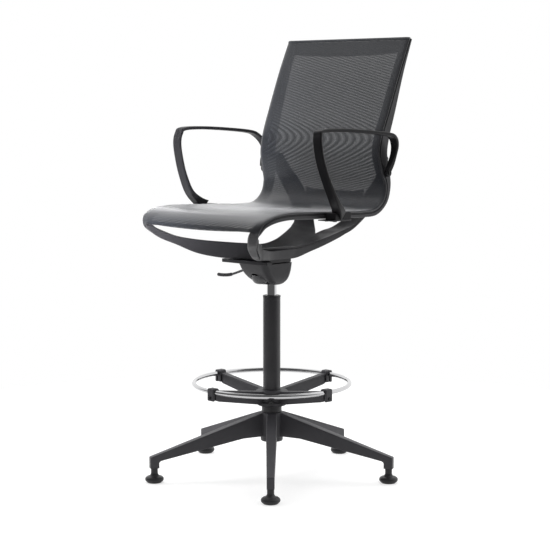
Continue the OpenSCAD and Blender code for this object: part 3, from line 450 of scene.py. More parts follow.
def knitted(name, sizes, colours):
    """Open polyester knit: fine ribs across, loops along them, and pinholes between the yarns."""
    r = Recipe(name)
    apart = r.node("ShaderNodeSeparateXYZ", {"Vector": r.place.outputs["UV"]})
    across, along = apart.outputs["X"], apart.outputs["Y"]
    loops = r.math("SINE", r.math("MULTIPLY", across, math.tau * sizes.cloth_width / sizes.stitch))
    wander = r.math("MULTIPLY", r.noise(9.0, 2.0), 2.4)
    courses = r.math("ADD", r.math("MULTIPLY", along, math.tau * sizes.cloth_length / sizes.rib), wander)
    front = r.math("SINE", courses)
    # the ribs of the rear layer are drawn out of step with the front ones away from the small of the back
    away = r.math("POWER", r.math("SUBTRACT", along, sizes.waist), 2.0)
    pull = r.math("SQRT", r.math("ADD", away, (sizes.waist_bow / sizes.cloth_length) ** 2))
    pull = r.math("MULTIPLY", pull, math.tau * sizes.cloth_length / sizes.rear_pull)
    skew = r.math("MULTIPLY", across, math.tau * sizes.cloth_width / sizes.rear_skew)
    rear = r.math("SINE", r.math("ADD", courses, r.math("ADD", pull, skew)))
    rear_hole = r.math("MULTIPLY_ADD", r.math("LESS_THAN", rear, -0.2), 0.7, 0.3)
    hole = r.math("MULTIPLY", r.math("GREATER_THAN", loops, 0.0), r.math("LESS_THAN", front, -0.2))
    clear = r.math("MULTIPLY", r.math("MULTIPLY", hole, rear_hole), sizes.openness)
    yarn = list(colours.yarn)
    both = r.math("MULTIPLY", r.math("MULTIPLY", front, rear), 0.3)
    fine = r.math("ADD", r.math("MULTIPLY", front, 0.2), both)
    tone = r.math("ADD", r.math("ADD", fine, 0.35), r.math("MULTIPLY", r.noise(700.0, 1.0), 0.3), clamp=True)
    r.set("Base Color", r.blend(tone, shade(yarn, 0.4), shade(yarn, 1.6)))
    r.set("Alpha", r.math("SUBTRACT", 1.0, clear, clamp=True))
    r.set("Roughness", 0.45)
    r.set("Coat Weight", 1.0)
    r.set("Coat Roughness", 0.38)
    r.set("Sheen Weight", 0.6)
    r.set("Sheen Roughness", 0.25)
    r.set("Sheen Tint", (0.9, 0.9, 0.92, 1.0))
    r.bump(r.math("ADD", front, r.math("MULTIPLY", loops, 0.35)), 0.00015)
    return r.material


MADE = {}


def finish_of(slot):
    """The material of one of the record's slots, made once."""
    if slot in MADE:
        return MADE[slot]
    sizes, colours = bpy.context.scene.chair_cloth, bpy.context.scene.chair_colours
    nylon = list(colours.nylon)
    recipes = {
        # painted light: the base gets 1.5 times the nylon's colour, so that it reads as more brightly lit
        # from above than the other nylon parts
        "base_nylon": lambda: moulded(slot, shade(nylon, 1.5), 0.46),
        "ring_nylon": lambda: moulded(slot, shade(nylon, 1.2), 0.5),
        "frame_nylon": lambda: moulded(slot, shade(nylon, 0.9), 0.42),
        # painted shade: the arms get 0.35 times the nylon's colour, against 0.9 for the frame, so that they
        # read as lying in shade
        "arm_nylon": lambda: moulded(slot, shade(nylon, 0.35), 0.36, shine=0.2),
        "glide_nylon": lambda: moulded(slot, shade(nylon, 0.6), 0.4, depth=0.00003),
        "housing_plastic": lambda: moulded(slot, shade(nylon, 0.75), 0.5),
        "bush_plastic": lambda: moulded(slot, shade(nylon, 0.7), 0.4, depth=0.00002),
        "welt_plastic": lambda: moulded(slot, shade(nylon, 0.6), 0.5),
        "knob_plastic": lambda: moulded(slot, list(colours.knob), 0.4, depth=0.00003),
        "grip_rubber": lambda: rubbery(slot, shade(nylon, 0.6)),
        "buffer_rubber": lambda: rubbery(slot, shade(nylon, 0.35)),
        "column_paint": lambda: coated(slot, list(colours.tube), 0.36),
        "lever_steel": lambda: coated(slot, list(colours.tube), 0.34),
        "chrome": lambda: plated(slot, list(colours.chrome), 0.05),
        "steel": lambda: plated(slot, list(colours.steel), 0.3, 0.12),
        "screw_black": lambda: plated(slot, shade(list(colours.steel), 0.16), 0.4, 0.1),
        "cast_metal": lambda: plated(slot, shade(list(colours.steel), 0.6), 0.5, 0.15),
        "knit": lambda: knitted(slot, sizes, colours),
    }
    if slot not in recipes:
        raise RuntimeError(f"no finish is known for {slot}")
    MADE[slot] = recipes[slot]()
    return MADE[slot]


# ---------- settings ----------
class CHAIR_PG_sizes(bpy.types.PropertyGroup):
    leg_bevel: FloatProperty(
        name="Leg edge", description="Rounding of the long edges of a base leg", default=0.0026,
        min=0.0005, max=0.005, unit="LENGTH",
    )
    leg_root: FloatProperty(
        name="Leg root", description="Width of a base leg next to the hub", default=0.031, unit="LENGTH"
    )
    leg_tip: FloatProperty(
        name="Leg tip", description="Width of a base leg at its tip", default=0.021, unit="LENGTH"
    )
    rail_corner: FloatProperty(
        name="Rail corner", description="Rounding of the frame's corners", default=0.0032,
        min=0.001, max=0.005, unit="LENGTH",
    )
    arm_corner: FloatProperty(
        name="Arm corner", description="Rounding of the arm band's corners", default=0.0038,
        min=0.001, max=0.006, unit="LENGTH",
    )
    fineness: IntProperty(
        name="Fineness", description="Rings between two stations of the frame", default=12, min=4, max=24
    )


class CHAIR_PG_cloth(bpy.types.PropertyGroup):
    cloth_width: FloatProperty(
        name="Cloth width", description="Width of the mounted cloth, laid flat", default=0.5, unit="LENGTH"
    )
    cloth_length: FloatProperty(
        name="Cloth length", description="Length of the mounted cloth, laid flat", default=1.025,
        unit="LENGTH",
    )
    rib: FloatProperty(
        name="Rib", description="Distance from one knitted rib to the next", default=0.0026083, unit="LENGTH"
    )
    stitch: FloatProperty(
        name="Stitch", description="Distance from one loop to the next along a rib", default=0.0026,
        unit="LENGTH",
    )
    openness: FloatProperty(
        name="Openness", description="How clear the holes between the yarns are", default=0.36,
        min=0, max=1, subtype="FACTOR",
    )
    waist: FloatProperty(
        name="Waist", description="Where along the cloth its two layers are in step", default=0.69,
        min=0, max=1, subtype="FACTOR",
    )
    waist_bow: FloatProperty(
        name="Waist bow", description="Length over which the rear ribs turn round at the waist",
        default=0.034777, unit="LENGTH",
    )
    rear_pull: FloatProperty(
        name="Rear pull", description="Length in which the rear ribs slip by one", default=0.0077790,
        unit="LENGTH",
    )
    rear_skew: FloatProperty(
        name="Rear skew", description="Width in which the rear ribs slip by one", default=0.03, unit="LENGTH"
    )


class CHAIR_PG_colours(bpy.types.PropertyGroup):
    nylon: FloatVectorProperty(
        name="Nylon", description="Colour of the glass-filled nylon", default=(0.042, 0.041, 0.046),
        size=3, min=0, max=1, subtype="COLOR",
    )
    tube: FloatVectorProperty(
        name="Tube", description="Powder coat of the stand tube", default=(0.042, 0.041, 0.045),
        size=3, min=0, max=1, subtype="COLOR",
    )
    yarn: FloatVectorProperty(
        name="Yarn", description="Colour of the knit's yarn", default=(0.02, 0.022, 0.028),
        size=3, min=0, max=1, subtype="COLOR",
    )
    knob: FloatVectorProperty(
        name="Knob", description="Colour of the tension knob", default=(0.13, 0.13, 0.135),
        size=3, min=0, max=1, subtype="COLOR",
    )
    chrome: FloatVectorProperty(
        name="Chrome", description="Colour of the bright plating", default=(0.68, 0.68, 0.69),
        size=3, min=0, max=1, subtype="COLOR",
    )
    steel: FloatVectorProperty(
        name="Steel", description="Colour of the plain steel parts", default=(0.42, 0.42, 0.43),
        size=3, min=0, max=1, subtype="COLOR",
    )


class CHAIR_PG_studio(bpy.types.PropertyGroup):
    lens: FloatProperty(
        name="Lens", description="Focal length of the camera", default=105.7, min=20, max=300,
        subtype="DISTANCE_CAMERA",
    )
    azimuth: FloatProperty(
        name="Azimuth", description="Camera's place round the chair, from its front",
        default=math.radians(44), subtype="ANGLE",
    )
    dip: FloatProperty(
        name="Dip", description="How far the camera looks down", default=math.radians(6.27), subtype="ANGLE"
    )
    key: FloatProperty(name="Key", description="Power of the large lamp", default=40.0, unit="POWER")
    fill: FloatProperty(
        name="Fill", description="Power of the back lamp, of which the side lamps have a share", default=10.0,
        unit="POWER",
    )
    sky: FloatProperty(name="Sky", description="Strength of the even light all round", default=0.5)
    dark: FloatProperty(
        name="Dark side", description="Strength that gloss shows on the camera's side", default=0.12
    )
    show_floor: BoolProperty(name="Floor", description="Whether the chair stands on a floor", default=True)


# ---------- the line of the side frame ----------
def frame_line():
    """Stations of half the frame: x, y, z, turn of the side axis in degrees, width and depth."""
    bx = UPRIGHT_X
    rx = SEAT_HALF - RAIL_W / 2
    yoke_z = PLATE_TOP + 24
    half = [
        [bx, LEAN, BACK_TOP, 0, UPRIGHT_W, 15],
        [bx, LEAN - 40, BACK_TOP - 0.19 * BACK_H, 0, UPRIGHT_W, 22],
        [bx - 1, LEAN - 80, BACK_TOP - 0.413 * BACK_H, 0, UPRIGHT_W, 32],
        [bx - 3, LEAN - 106, BACK_TOP - 0.561 * BACK_H, 0, UPRIGHT_W, 38],
        [bx - 3, LEAN - 116, BACK_TOP - 0.667 * BACK_H, 0, UPRIGHT_W, 40],
        [bx + 2, LEAN - 108, BACK_TOP - 0.768 * BACK_H, 0, UPRIGHT_W, 34],
        [rx - 3, LEAN - 102, SEAT_Z + 73, 0, RAIL_W + 2, 25],
        [rx, LEAN - 115, SEAT_Z + 31, 0, RAIL_W, RAIL_D + 1],
        [rx, LEAN - 153, SEAT_Z + 2, 0, RAIL_W, RAIL_D],
        [rx, LEAN - 209, SEAT_Z - 3, 0, RAIL_W, RAIL_D - 1],
        [rx, 20, SEAT_Z, 0, RAIL_W, RAIL_D - 1],
        [rx, -80, SEAT_Z + 3, 0, RAIL_W, RAIL_D],
        [rx, -FRONT + 1.9 * NOSE, SEAT_Z + 5.5, 0, RAIL_W, RAIL_D],
        [rx - 1, -FRONT + 0.97 * NOSE, SEAT_Z + 1, 0, RAIL_W, RAIL_D],
        [rx - 0.1 * NOSE, -FRONT + 0.34 * NOSE, SEAT_Z - 0.19 * NOSE, 4, RAIL_W, RAIL_D - 1],
        [rx - 0.26 * NOSE, -FRONT + 0.12 * NOSE, SEAT_Z - 0.47 * NOSE, 14, RAIL_W + 1, RAIL_D - 2],
        [rx - 0.5 * NOSE, -FRONT + 0.16 * NOSE, SEAT_Z - 0.73 * NOSE, 30, RAIL_W + 2, RAIL_D - 1],
        [rx - 0.87 * NOSE, -FRONT + 0.46 * NOSE, SEAT_Z - NOSE, 44, RAIL_W + 2, RAIL_D + 2],
        [rx - 83, -FRONT + 58, PLATE_TOP + 56, 40, RAIL_W, 23],
        [rx - 118, -FRONT + 106, PLATE_TOP + 38, 37, RAIL_W - 4, 38],
        [80, -133, yoke_z + 4, 43, 16, 45],
        [40, -96, yoke_z, 62, 12, 46],
        [0, -86, yoke_z, 90, 12, 46],
    ]
    return half + [[-v[0], v[1], v[2], 180 - v[3], v[4], v[5]] for v in half[-2::-1]]


LINE = frame_line()
T_MID = (len(LINE) - 1) // 2


def on_rail(t, side, out):
    return beside(LINE, t, math.radians(smooth(LINE, t)[3]), side, out)


def rail_section(width, depth, groove, corner):
    """Outline of a rail with the groove for the welt in its outer side."""
    w, d = width / 2, depth / 2
    g0, g1, lip = d - GROOVE_INSET - GROOVE_W, d - GROOVE_INSET, 0.5
    return (
        arc(w - corner, corner - d, corner, -90, 0, 4)
        + [(w, g0 - lip), (w - lip, g0), (w - groove, g0), (w - groove, g1), (w - lip, g1), (w, g1 + lip)]
        + arc(w - 3, d - 3, 3, 0, 90, 4)
        + arc(corner - w, d - corner, corner, 90, 180, 4)
        + arc(corner - w, corner - d, corner, 180, 270, 4)
    )


def rail_rings(t0, t1, sizes):
    """Rings of the frame, whose groove fades out past the knit and opens again as a slot in the loop."""
    shallow, slot_from, slot_to = 0.25, 15.6, 18.2
    rings = []
    for t in steps(t0, t1, round((t1 - t0) * sizes.fineness)):
        width, depth = smooth(LINE, t)[4:]
        fade = within((T_MESH + 0.9 - t) / 0.5)
        slot = within(2 * (t - slot_from)) * within(2 * (slot_to - t))
        groove = shallow + (GROOVE_D - shallow) * max(fade, slot)
        section = rail_section(width, depth, groove, sizes.rail_corner / MM)
        rings.append([on_rail(t, side, out) for side, out in section])
    return rings


# ---------- operators ----------
class CHAIR_OT_stage(bpy.types.Operator):
    """Adds the floor, the even light, the lamps and the camera"""

    bl_idname = "chair.stage"
    bl_label = "Studio"

    camera_place = (3.2037, -3.3175, 1.0872)
    camera_shift = (0.0059, 0.001)
    floor_radius = 1.7
    floor_grey = (0.5, 0.5, 0.5, 1)
    # strength of the floor's own glow where the camera sees it, and where gloss shows it
    floor_seen = 0.6
    floor_mirrored = 0.3

    def execute(self, context):
        studio = context.scene.chair_studio
        context.scene.view_settings.view_transform = "Standard"
        self.camera(context, studio)
        self.light(context, studio)
        if studio.show_floor:
            self.floor(context)
        return {"FINISHED"}

    def camera(self, context, studio):
        data = bpy.data.cameras.new("camera")
        data.lens = studio.lens
        data.sensor_width = 36.0
        data.shift_x, data.shift_y = self.camera_shift
        camera = bpy.data.objects.new("camera", data)
        context.scene.collection.objects.link(camera)
        a, e = studio.azimuth, studio.dip
        look = Vector((-math.sin(a) * math.cos(e), math.cos(a) * math.cos(e), -math.sin(e)))
        camera.location = self.camera_place
        camera.rotation_euler = look.to_track_quat("-Z", "Y").to_euler()
        context.scene.camera = camera

    def light(self, context, studio):
        world = bpy.data.worlds.new("studio")
        context.scene.world = world
        world.use_nodes = True
        sky = Nodes(world.node_tree)
        background = sky.tree.nodes["Background"]
        sky.feed(background.inputs["Color"], (1, 1, 1, 1))
        rays = sky.node("ShaderNodeLightPath").outputs
        back = (-math.sin(studio.azimuth), math.cos(studio.azimuth))
        gloss = self.towards(sky, (back[0] + 0.3, back[1] + 0.3, 0.3))
        glow = self.ramp(sky, gloss, (-0.25, 0.45), (studio.dark, 1.0))
        light = self.towards(sky, (0.9 * back[0], 0.9 * back[1], 0.8))
        soft = self.ramp(sky, light, (-0.45, 0.9), (0.35 * studio.sky, 3.0 * studio.sky))
        shown = self.either(sky, rays["Is Glossy Ray"], soft, glow)
        sky.feed(background.inputs["Strength"], self.either(sky, self.seen(sky, rays), shown, 1.0))
        # name, place, aim, width, height, spread in degrees, power
        lamps = [
            ("top_lamp", (-1.3, 0.3, 3.2), (0, 0, 0.7), 1.8, 1.8, 180, studio.key),
            ("left_lamp", (-2.2, -1.9, 1.1), (-0.45, -0.15, 0.65), 0.5, 1.4, 14, 0.14 * studio.fill),
            ("arm_lamp", (0.9, -2.6, 0.6), (-0.3, -0.15, 0.92), 0.3, 0.5, 12, 0.25 * studio.fill),
            ("back_lamp", (2.0, 3.2, 1.7), (0, 0, 0.7), 1.4, 1.4, 180, studio.fill),
        ]
        for name, place, aim, width, height, spread, power in lamps:
            data = bpy.data.lights.new(name, "AREA")
            data.shape = "RECTANGLE"
            data.size, data.size_y = width, height
            data.spread = math.radians(spread)
            data.energy = power
            lamp = bpy.data.objects.new(name, data)
            lamp.location = place
            lamp.rotation_euler = (Vector(aim) - Vector(place)).to_track_quat("-Z", "Y").to_euler()
            lamp.visible_glossy = False
            context.scene.collection.objects.link(lamp)

    def towards(self, sky, direction):
        """How far a ray of the world points in a direction, from -1 to 1."""
        inputs = {0: sky.node("ShaderNodeTexCoord").outputs["Generated"], 1: Vector(direction).normalized()}
        return sky.node("ShaderNodeVectorMath", inputs, operation="DOT_PRODUCT").outputs["Value"]

    def ramp(self, sky, value, spread, levels):
        """Maps a value to strengths, smoothly and without going past either."""
        inputs = dict(zip(("From Min", "From Max", "To Min", "To Max"), (*spread, *levels)), Value=value)
        return sky.node("ShaderNodeMapRange", inputs, interpolation_type="SMOOTHSTEP").outputs["Result"]

    def either(self, sky, switch, off, on):
        """One strength or the other."""
        return sky.node("ShaderNodeMix", {"Factor": switch, "A": off, "B": on}).outputs["Result"]

    def seen(self, nodes, rays):
        """1 where the camera looks straight, or through something clear."""
        return nodes.math("MAXIMUM", rays["Is Camera Ray"], rays["Is Transmission Ray"])

    def floor(self, context):
        bm = bmesh.new()
        bmesh.ops.create_circle(bm, cap_ends=True, segments=96, radius=self.floor_radius)
        obj = poured(bm, "floor")
        material = bpy.data.materials.new("floor_white")
        material.use_nodes = True
        white = Nodes(material.node_tree)
        white.tree.nodes.clear()
        rays = white.node("ShaderNodeLightPath").outputs
        seen = white.math("MULTIPLY", self.seen(white, rays), self.floor_seen)
        strength = white.math("MULTIPLY_ADD", rays["Is Glossy Ray"], self.floor_mirrored, seen)
        lit = white.node("ShaderNodeBsdfDiffuse", {"Color": self.floor_grey})
        glow = white.node("ShaderNodeEmission", {"Strength": strength})
        both = white.node("ShaderNodeAddShader", {0: lit.outputs[0], 1: glow.outputs[0]})
        white.node("ShaderNodeOutputMaterial", {"Surface": both.outputs[0]})
        obj.data.materials.append(material)


class CHAIR_OT_base(bpy.types.Operator):
    """Adds the five-leg base and its glides"""

    bl_idname = "chair.base"
    bl_label = "Base"

    turns = [math.radians(-46.5 + 72 * k) for k in range(5)]
    glide_reach = 350
    stem_r = 5.6

    def execute(self, context):
        legs = round_column(self.leg(context.scene.chair_sizes), self.turns)
        piece("finished_star_base", combined(self.hub(), legs, "UNION"), "base", "base_nylon", ["star_base"])
        shift = Matrix.Translation((self.glide_reach * MM, 0, 0))
        pads = gathered(round_column(self.pad(), self.turns, shift))
        piece("finished_glides", pads, "base", "glide_nylon", ["glide_pads"], sharp=50)
        return {"FINISHED"}

    def hub(self):
        """The tapered hub, with the bore that the stand tube is pressed into."""
        bore, top, bottom = 25.05, at("star_base", HIGH, Z), at("stand_tube", LOW, Z) - 8
        outline = [
            (bore, bottom + 8), (bore, top - 1), (26, top), (32.2, top), (33.5, top - 1.3),
            (33.5, bottom + 14), (32.2, bottom + 12), (32.2, bottom + 3), (30.5, bottom), (21, bottom),
            (21, bottom + 8),
        ]
        return spun(outline, 96)

    def leg(self, sizes):
        """One leg: a tall box girder that narrows to its tip, with a socket for the glide."""
        top, tip_z, foot = at("star_base", HIGH, Z) - 1, 74, at("star_base", LOW, Z)
        start, shoulder, bend, r0, r1 = 27, 34.5, 90, 338, 363
        root, tip = sizes.leg_root / MM / 2, sizes.leg_tip / MM / 2
        slope = (top - tip_z) / (r1 - shoulder)
        outline = [
            (start, top), (shoulder, top), (bend, top - slope * (bend - shoulder)), (r1, tip_z), (r1, foot),
            (r0, foot), (r0, foot + 13), (r0 - 1.8, foot + 17), (r0 - 6, foot + 20), (bend, 112),
            (41.5, 114), (start, 114),
        ]
        bm = slab(outline, 1)
        for vert in bm.verts:
            r = vert.co.x / MM
            if r < bend:
                half = root - 3 * (bend - r) / 80
            else:
                half = root + (tip - root) * (r - bend) / (r1 - bend)
            vert.co.y = math.copysign(half * MM, vert.co.y)
        inner = (start + 0.5) * MM
        long_edges = [e for e in sharp_edges(bm, 25) if not all(v.co.x < inner for v in e.verts)]
        top_edges = [e for e in long_edges if sum(v.co.z for v in e.verts) / 2 > (foot + 12) * MM]
        bevel(bm, top_edges, sizes.leg_bevel / MM, 3)
        return bm

    def pad(self):
        """A glide: flat foot, rounded rim and a hollow flare up to its neck."""
        r, shoulder, neck = 26.7, at("star_base", LOW, Z), 9.8
        flare = []
        for a in steps(0, 90, 12):
            narrowing, rise = math.sin(math.radians(a)), math.cos(math.radians(a))
            flare.append((r - 6 - (r - 6 - neck) * narrowing, shoulder - 13 - 11 * rise))
        outline = (
            [(self.stem_r, 0), (r - 8, 0), (r - 7, 0.3)] + arc(r - 7.5, 10, 7.5, -62, 78, 14) + flare
            + [(neck, shoulder - 4.2), (neck + 0.2, shoulder - 3.6), (neck + 0.6, shoulder - 3.2),
               (neck + 0.6, shoulder - 0.7), (neck + 0.2, shoulder - GAP), (self.stem_r, shoulder - GAP)]
        )
        return spun(outline, 56)


class CHAIR_OT_column(bpy.types.Operator):
    """Adds the stand tube and its guide bush"""

    bl_idname = "chair.column"
    bl_label = "Column"

    def execute(self, context):
        bottom, top = at("stand_tube", LOW, Z), at("stand_tube", HIGH, Z)
        tube = spun([
            (5.6, bottom), (24, bottom), (25, bottom + 1), (25, top - 10), (24.6, top - 9.4),
            (24.6, top - 8.4), (25, top - 7.8), (25, top - 0.8), (24.6, top), (23.2, top), (23, top - 0.4),
            (23, bottom + 3), (5.6, bottom + 3),
        ], 96)
        piece("finished_stand_tube", tube, "base", "column_paint", ["stand_tube"])
        cap_top, low = at("guide_bush", HIGH, Z), at("guide_bush", LOW, Z)
        bush = spun([
            (14.05, low), (22.9, low), (22.9, top + 0.2), (25, top + 0.2), (25.5, top + 0.7),
            (25.5, cap_top - 1.2), (25.1, cap_top - 0.4), (24.2, cap_top), (15.4, cap_top),
            (14.6, cap_top - 0.4), (14.05, cap_top - 1.4),
        ], 96)
        piece("finished_guide_bush", bush, "base", "bush_plastic", ["guide_bush"])
        return {"FINISHED"}


class CHAIR_OT_footring(bpy.types.Operator):
    """Adds the footring, its hub with four spokes, the clips and their screws"""

    bl_idname = "chair.footring"
    bl_label = "Footring"

    ring_r = 225.0
    tube_r = 6.5
    hub_bore = 27.35
    spokes = [math.radians(-3 + 90 * k) for k in range(4)]
    clip_screw_drop = 16
    lock_turn = Matrix.Rotation(math.radians(-48), 4, "Z")
    lock_rise = 13

    def execute(self, context):
        z = (at("footring_tube", LOW, Z) + at("footring_tube", HIGH, Z)) / 2
        low, high = at("footring_hub", LOW, Z), at("collet_sleeve", HIGH, Z) - 1
        ring = spun(arc(self.ring_r, z, self.tube_r, 0, 345, 23), 180)
        piece("finished_footring", ring, "foot_ring", "chrome", ["footring_tube"], even=False)
        self.hub(z, low, high)
        self.clips(z)
        self.sleeve(low, high)
        return {"FINISHED"}

    def clearance(self, z):
        """What the hub and the clips have cut away for the ring."""
        return spun(arc(self.ring_r, z, self.tube_r + GAP, 0, 345, 23), 120)

    def hub(self, z, low, high):
        bm = spun([
            (self.hub_bore, low), (39, low), (41, low + 0.8), (45, low + 5), (45.5, low + 6.2),
            (45.5, low + 9.5), (44.8, low + 10.6), (40.2, low + 13.4), (39.3, low + 15), (39.3, high - 13),
            (40, high - 11.4), (44.8, high - 7), (45.3, high - 5.8), (45.3, high - 3.4), (44.6, high - 2.6),
            (31, high - 0.2), (29.5, high), (27.9, high), (self.hub_bore, high - 0.6),
        ], 96)
        end, inner = self.ring_r - self.tube_r - 3, self.ring_r - 13.3
        web = [
            (29, high - 4), (inner, z + 2), (inner, z - 1), (end + 3, z - 1), (end + 3, z - 22),
            (end - 8, z - 29), (29, low + 3),
        ]
        flange = [(29, high - 7), (29, high - 3), (inner, z + 3), (inner, z - 1)]
        arms = []
        for a in self.spokes:
            turn = Matrix.Rotation(a, 4, "Z")
            for outline, half, rounding in ((web, 6.5, 1.2), (flange, 9.5, 1.0)):
                part = slab(outline, half)
                bevel(part, sharp_edges(part, 20), rounding, 2)
                arms.append(placed(part, turn))
            saddle = block((12.5, 23, 23), (end - 4 + 6.25, 0, z - 12.5), 1.2, 2)
            arms.append(placed(saddle, turn))
        boss = rod(8, 29, 43.5, 32, 0.8)
        arms.append(placed(boss, self.lock_turn @ lying((0, 0, (low + self.lock_rise) * MM))))
        bm = combined(bm, arms, "UNION")
        bore = rod(self.hub_bore, low - 5, high + 5, 96)
        bm = combined(bm, [self.clearance(z), bore], "DIFFERENCE")
        piece("finished_footring_hub", bm, "foot_ring", "ring_nylon", ["footring_hub"])

    def clips(self, z):
        inner, outer = self.ring_r - 13, self.ring_r + self.tube_r + 4.5
        top = z + self.tube_r + 4.5
        outline = [
            (inner, z - 0.7), (inner, top - 5), (inner + 2, top - 1.4), (inner + 5, top), (outer - 4, top),
            (outer - 1, top - 1.4), (outer, top - 5), (outer, z - 22), (outer - 1.5, z - 24.6),
            (outer - 6.2, z - 25), (self.ring_r + 3, z - 24), (self.ring_r + 3, z - 0.7),
        ]
        clip = slab(outline, 11.5)
        bevel(clip, sharp_edges(clip, 30), 1.1, 3)
        screw_z = (z - self.clip_screw_drop) * MM
        screw_hole = placed(rod(2.6, 210, 240, 24), lying((0, 0, screw_z)))
        sunk = placed(rod(5.2, 235.2, 240, 32), lying((0, 0, screw_z)))
        clip = combined(clip, [self.clearance(z), screw_hole, sunk], "DIFFERENCE")
        clips = gathered(round_column(clip, self.spokes))
        piece("finished_ring_clips", clips, "foot_ring", "ring_nylon", ["ring_clips"])
        screw = screw_head(4.5, 2.4, 2.5, 9.5)
        heads = gathered(round_column(screw, self.spokes, lying(((outer + 0.1) * MM, 0, screw_z))))
        piece("finished_clip_screws", heads, "foot_ring", "screw_black", ["clip_screws"])

    def sleeve(self, low, high):
        """The split sleeve inside the hub, and the screw that clamps it."""
        bottom = at("collet_sleeve", LOW, Z)
        bm = spun([
            (25.05, bottom), (28, bottom), (28.8, bottom + 0.8), (28.8, low - 1.2), (28.3, low - GAP),
            (27.3, low - GAP), (27.3, high + 0.4), (26.8, high + 1), (25.5, high + 1), (25.05, high + 0.5),
        ], 96)
        piece("finished_collet_sleeve", bm, "foot_ring", "bush_plastic", ["collet_sleeve"])
        knob = screw_head(7.5, 5, 4, 18, socket=3.0, rounding=1.2)
        knob = placed(knob, self.lock_turn @ lying((45.6 * MM, 0, (low + self.lock_rise) * MM)))
        piece("finished_ring_lock_screw", knob, "ring_lock", "screw_black", ["ring_lock_screw"])


def screw_head(radius, height, shank, length, socket=None, rounding=0.5):
    """A socket screw whose head stands on z = 0 and whose shank goes down from it."""
    bm = spun([
        (0, -length), (shank - 0.4, -length), (shank, -length + 0.4), (shank, 0), (radius, 0),
        (radius, height - rounding), (radius - rounding * 0.3, height - rounding * 0.3),
        (radius - rounding, height), (0, height),
    ], 32, closed=False)
    key = bmesh.new()
    key_r = (socket or radius * 0.5) * MM
    bmesh.ops.create_cone(
        key, cap_ends=True, segments=6, radius1=key_r, radius2=key_r, depth=2 * height * 0.65 * MM
    )
    bmesh.ops.translate(key, verts=key.verts, vec=(0, 0, height * MM))
    return combined(bm, [key], "DIFFERENCE")


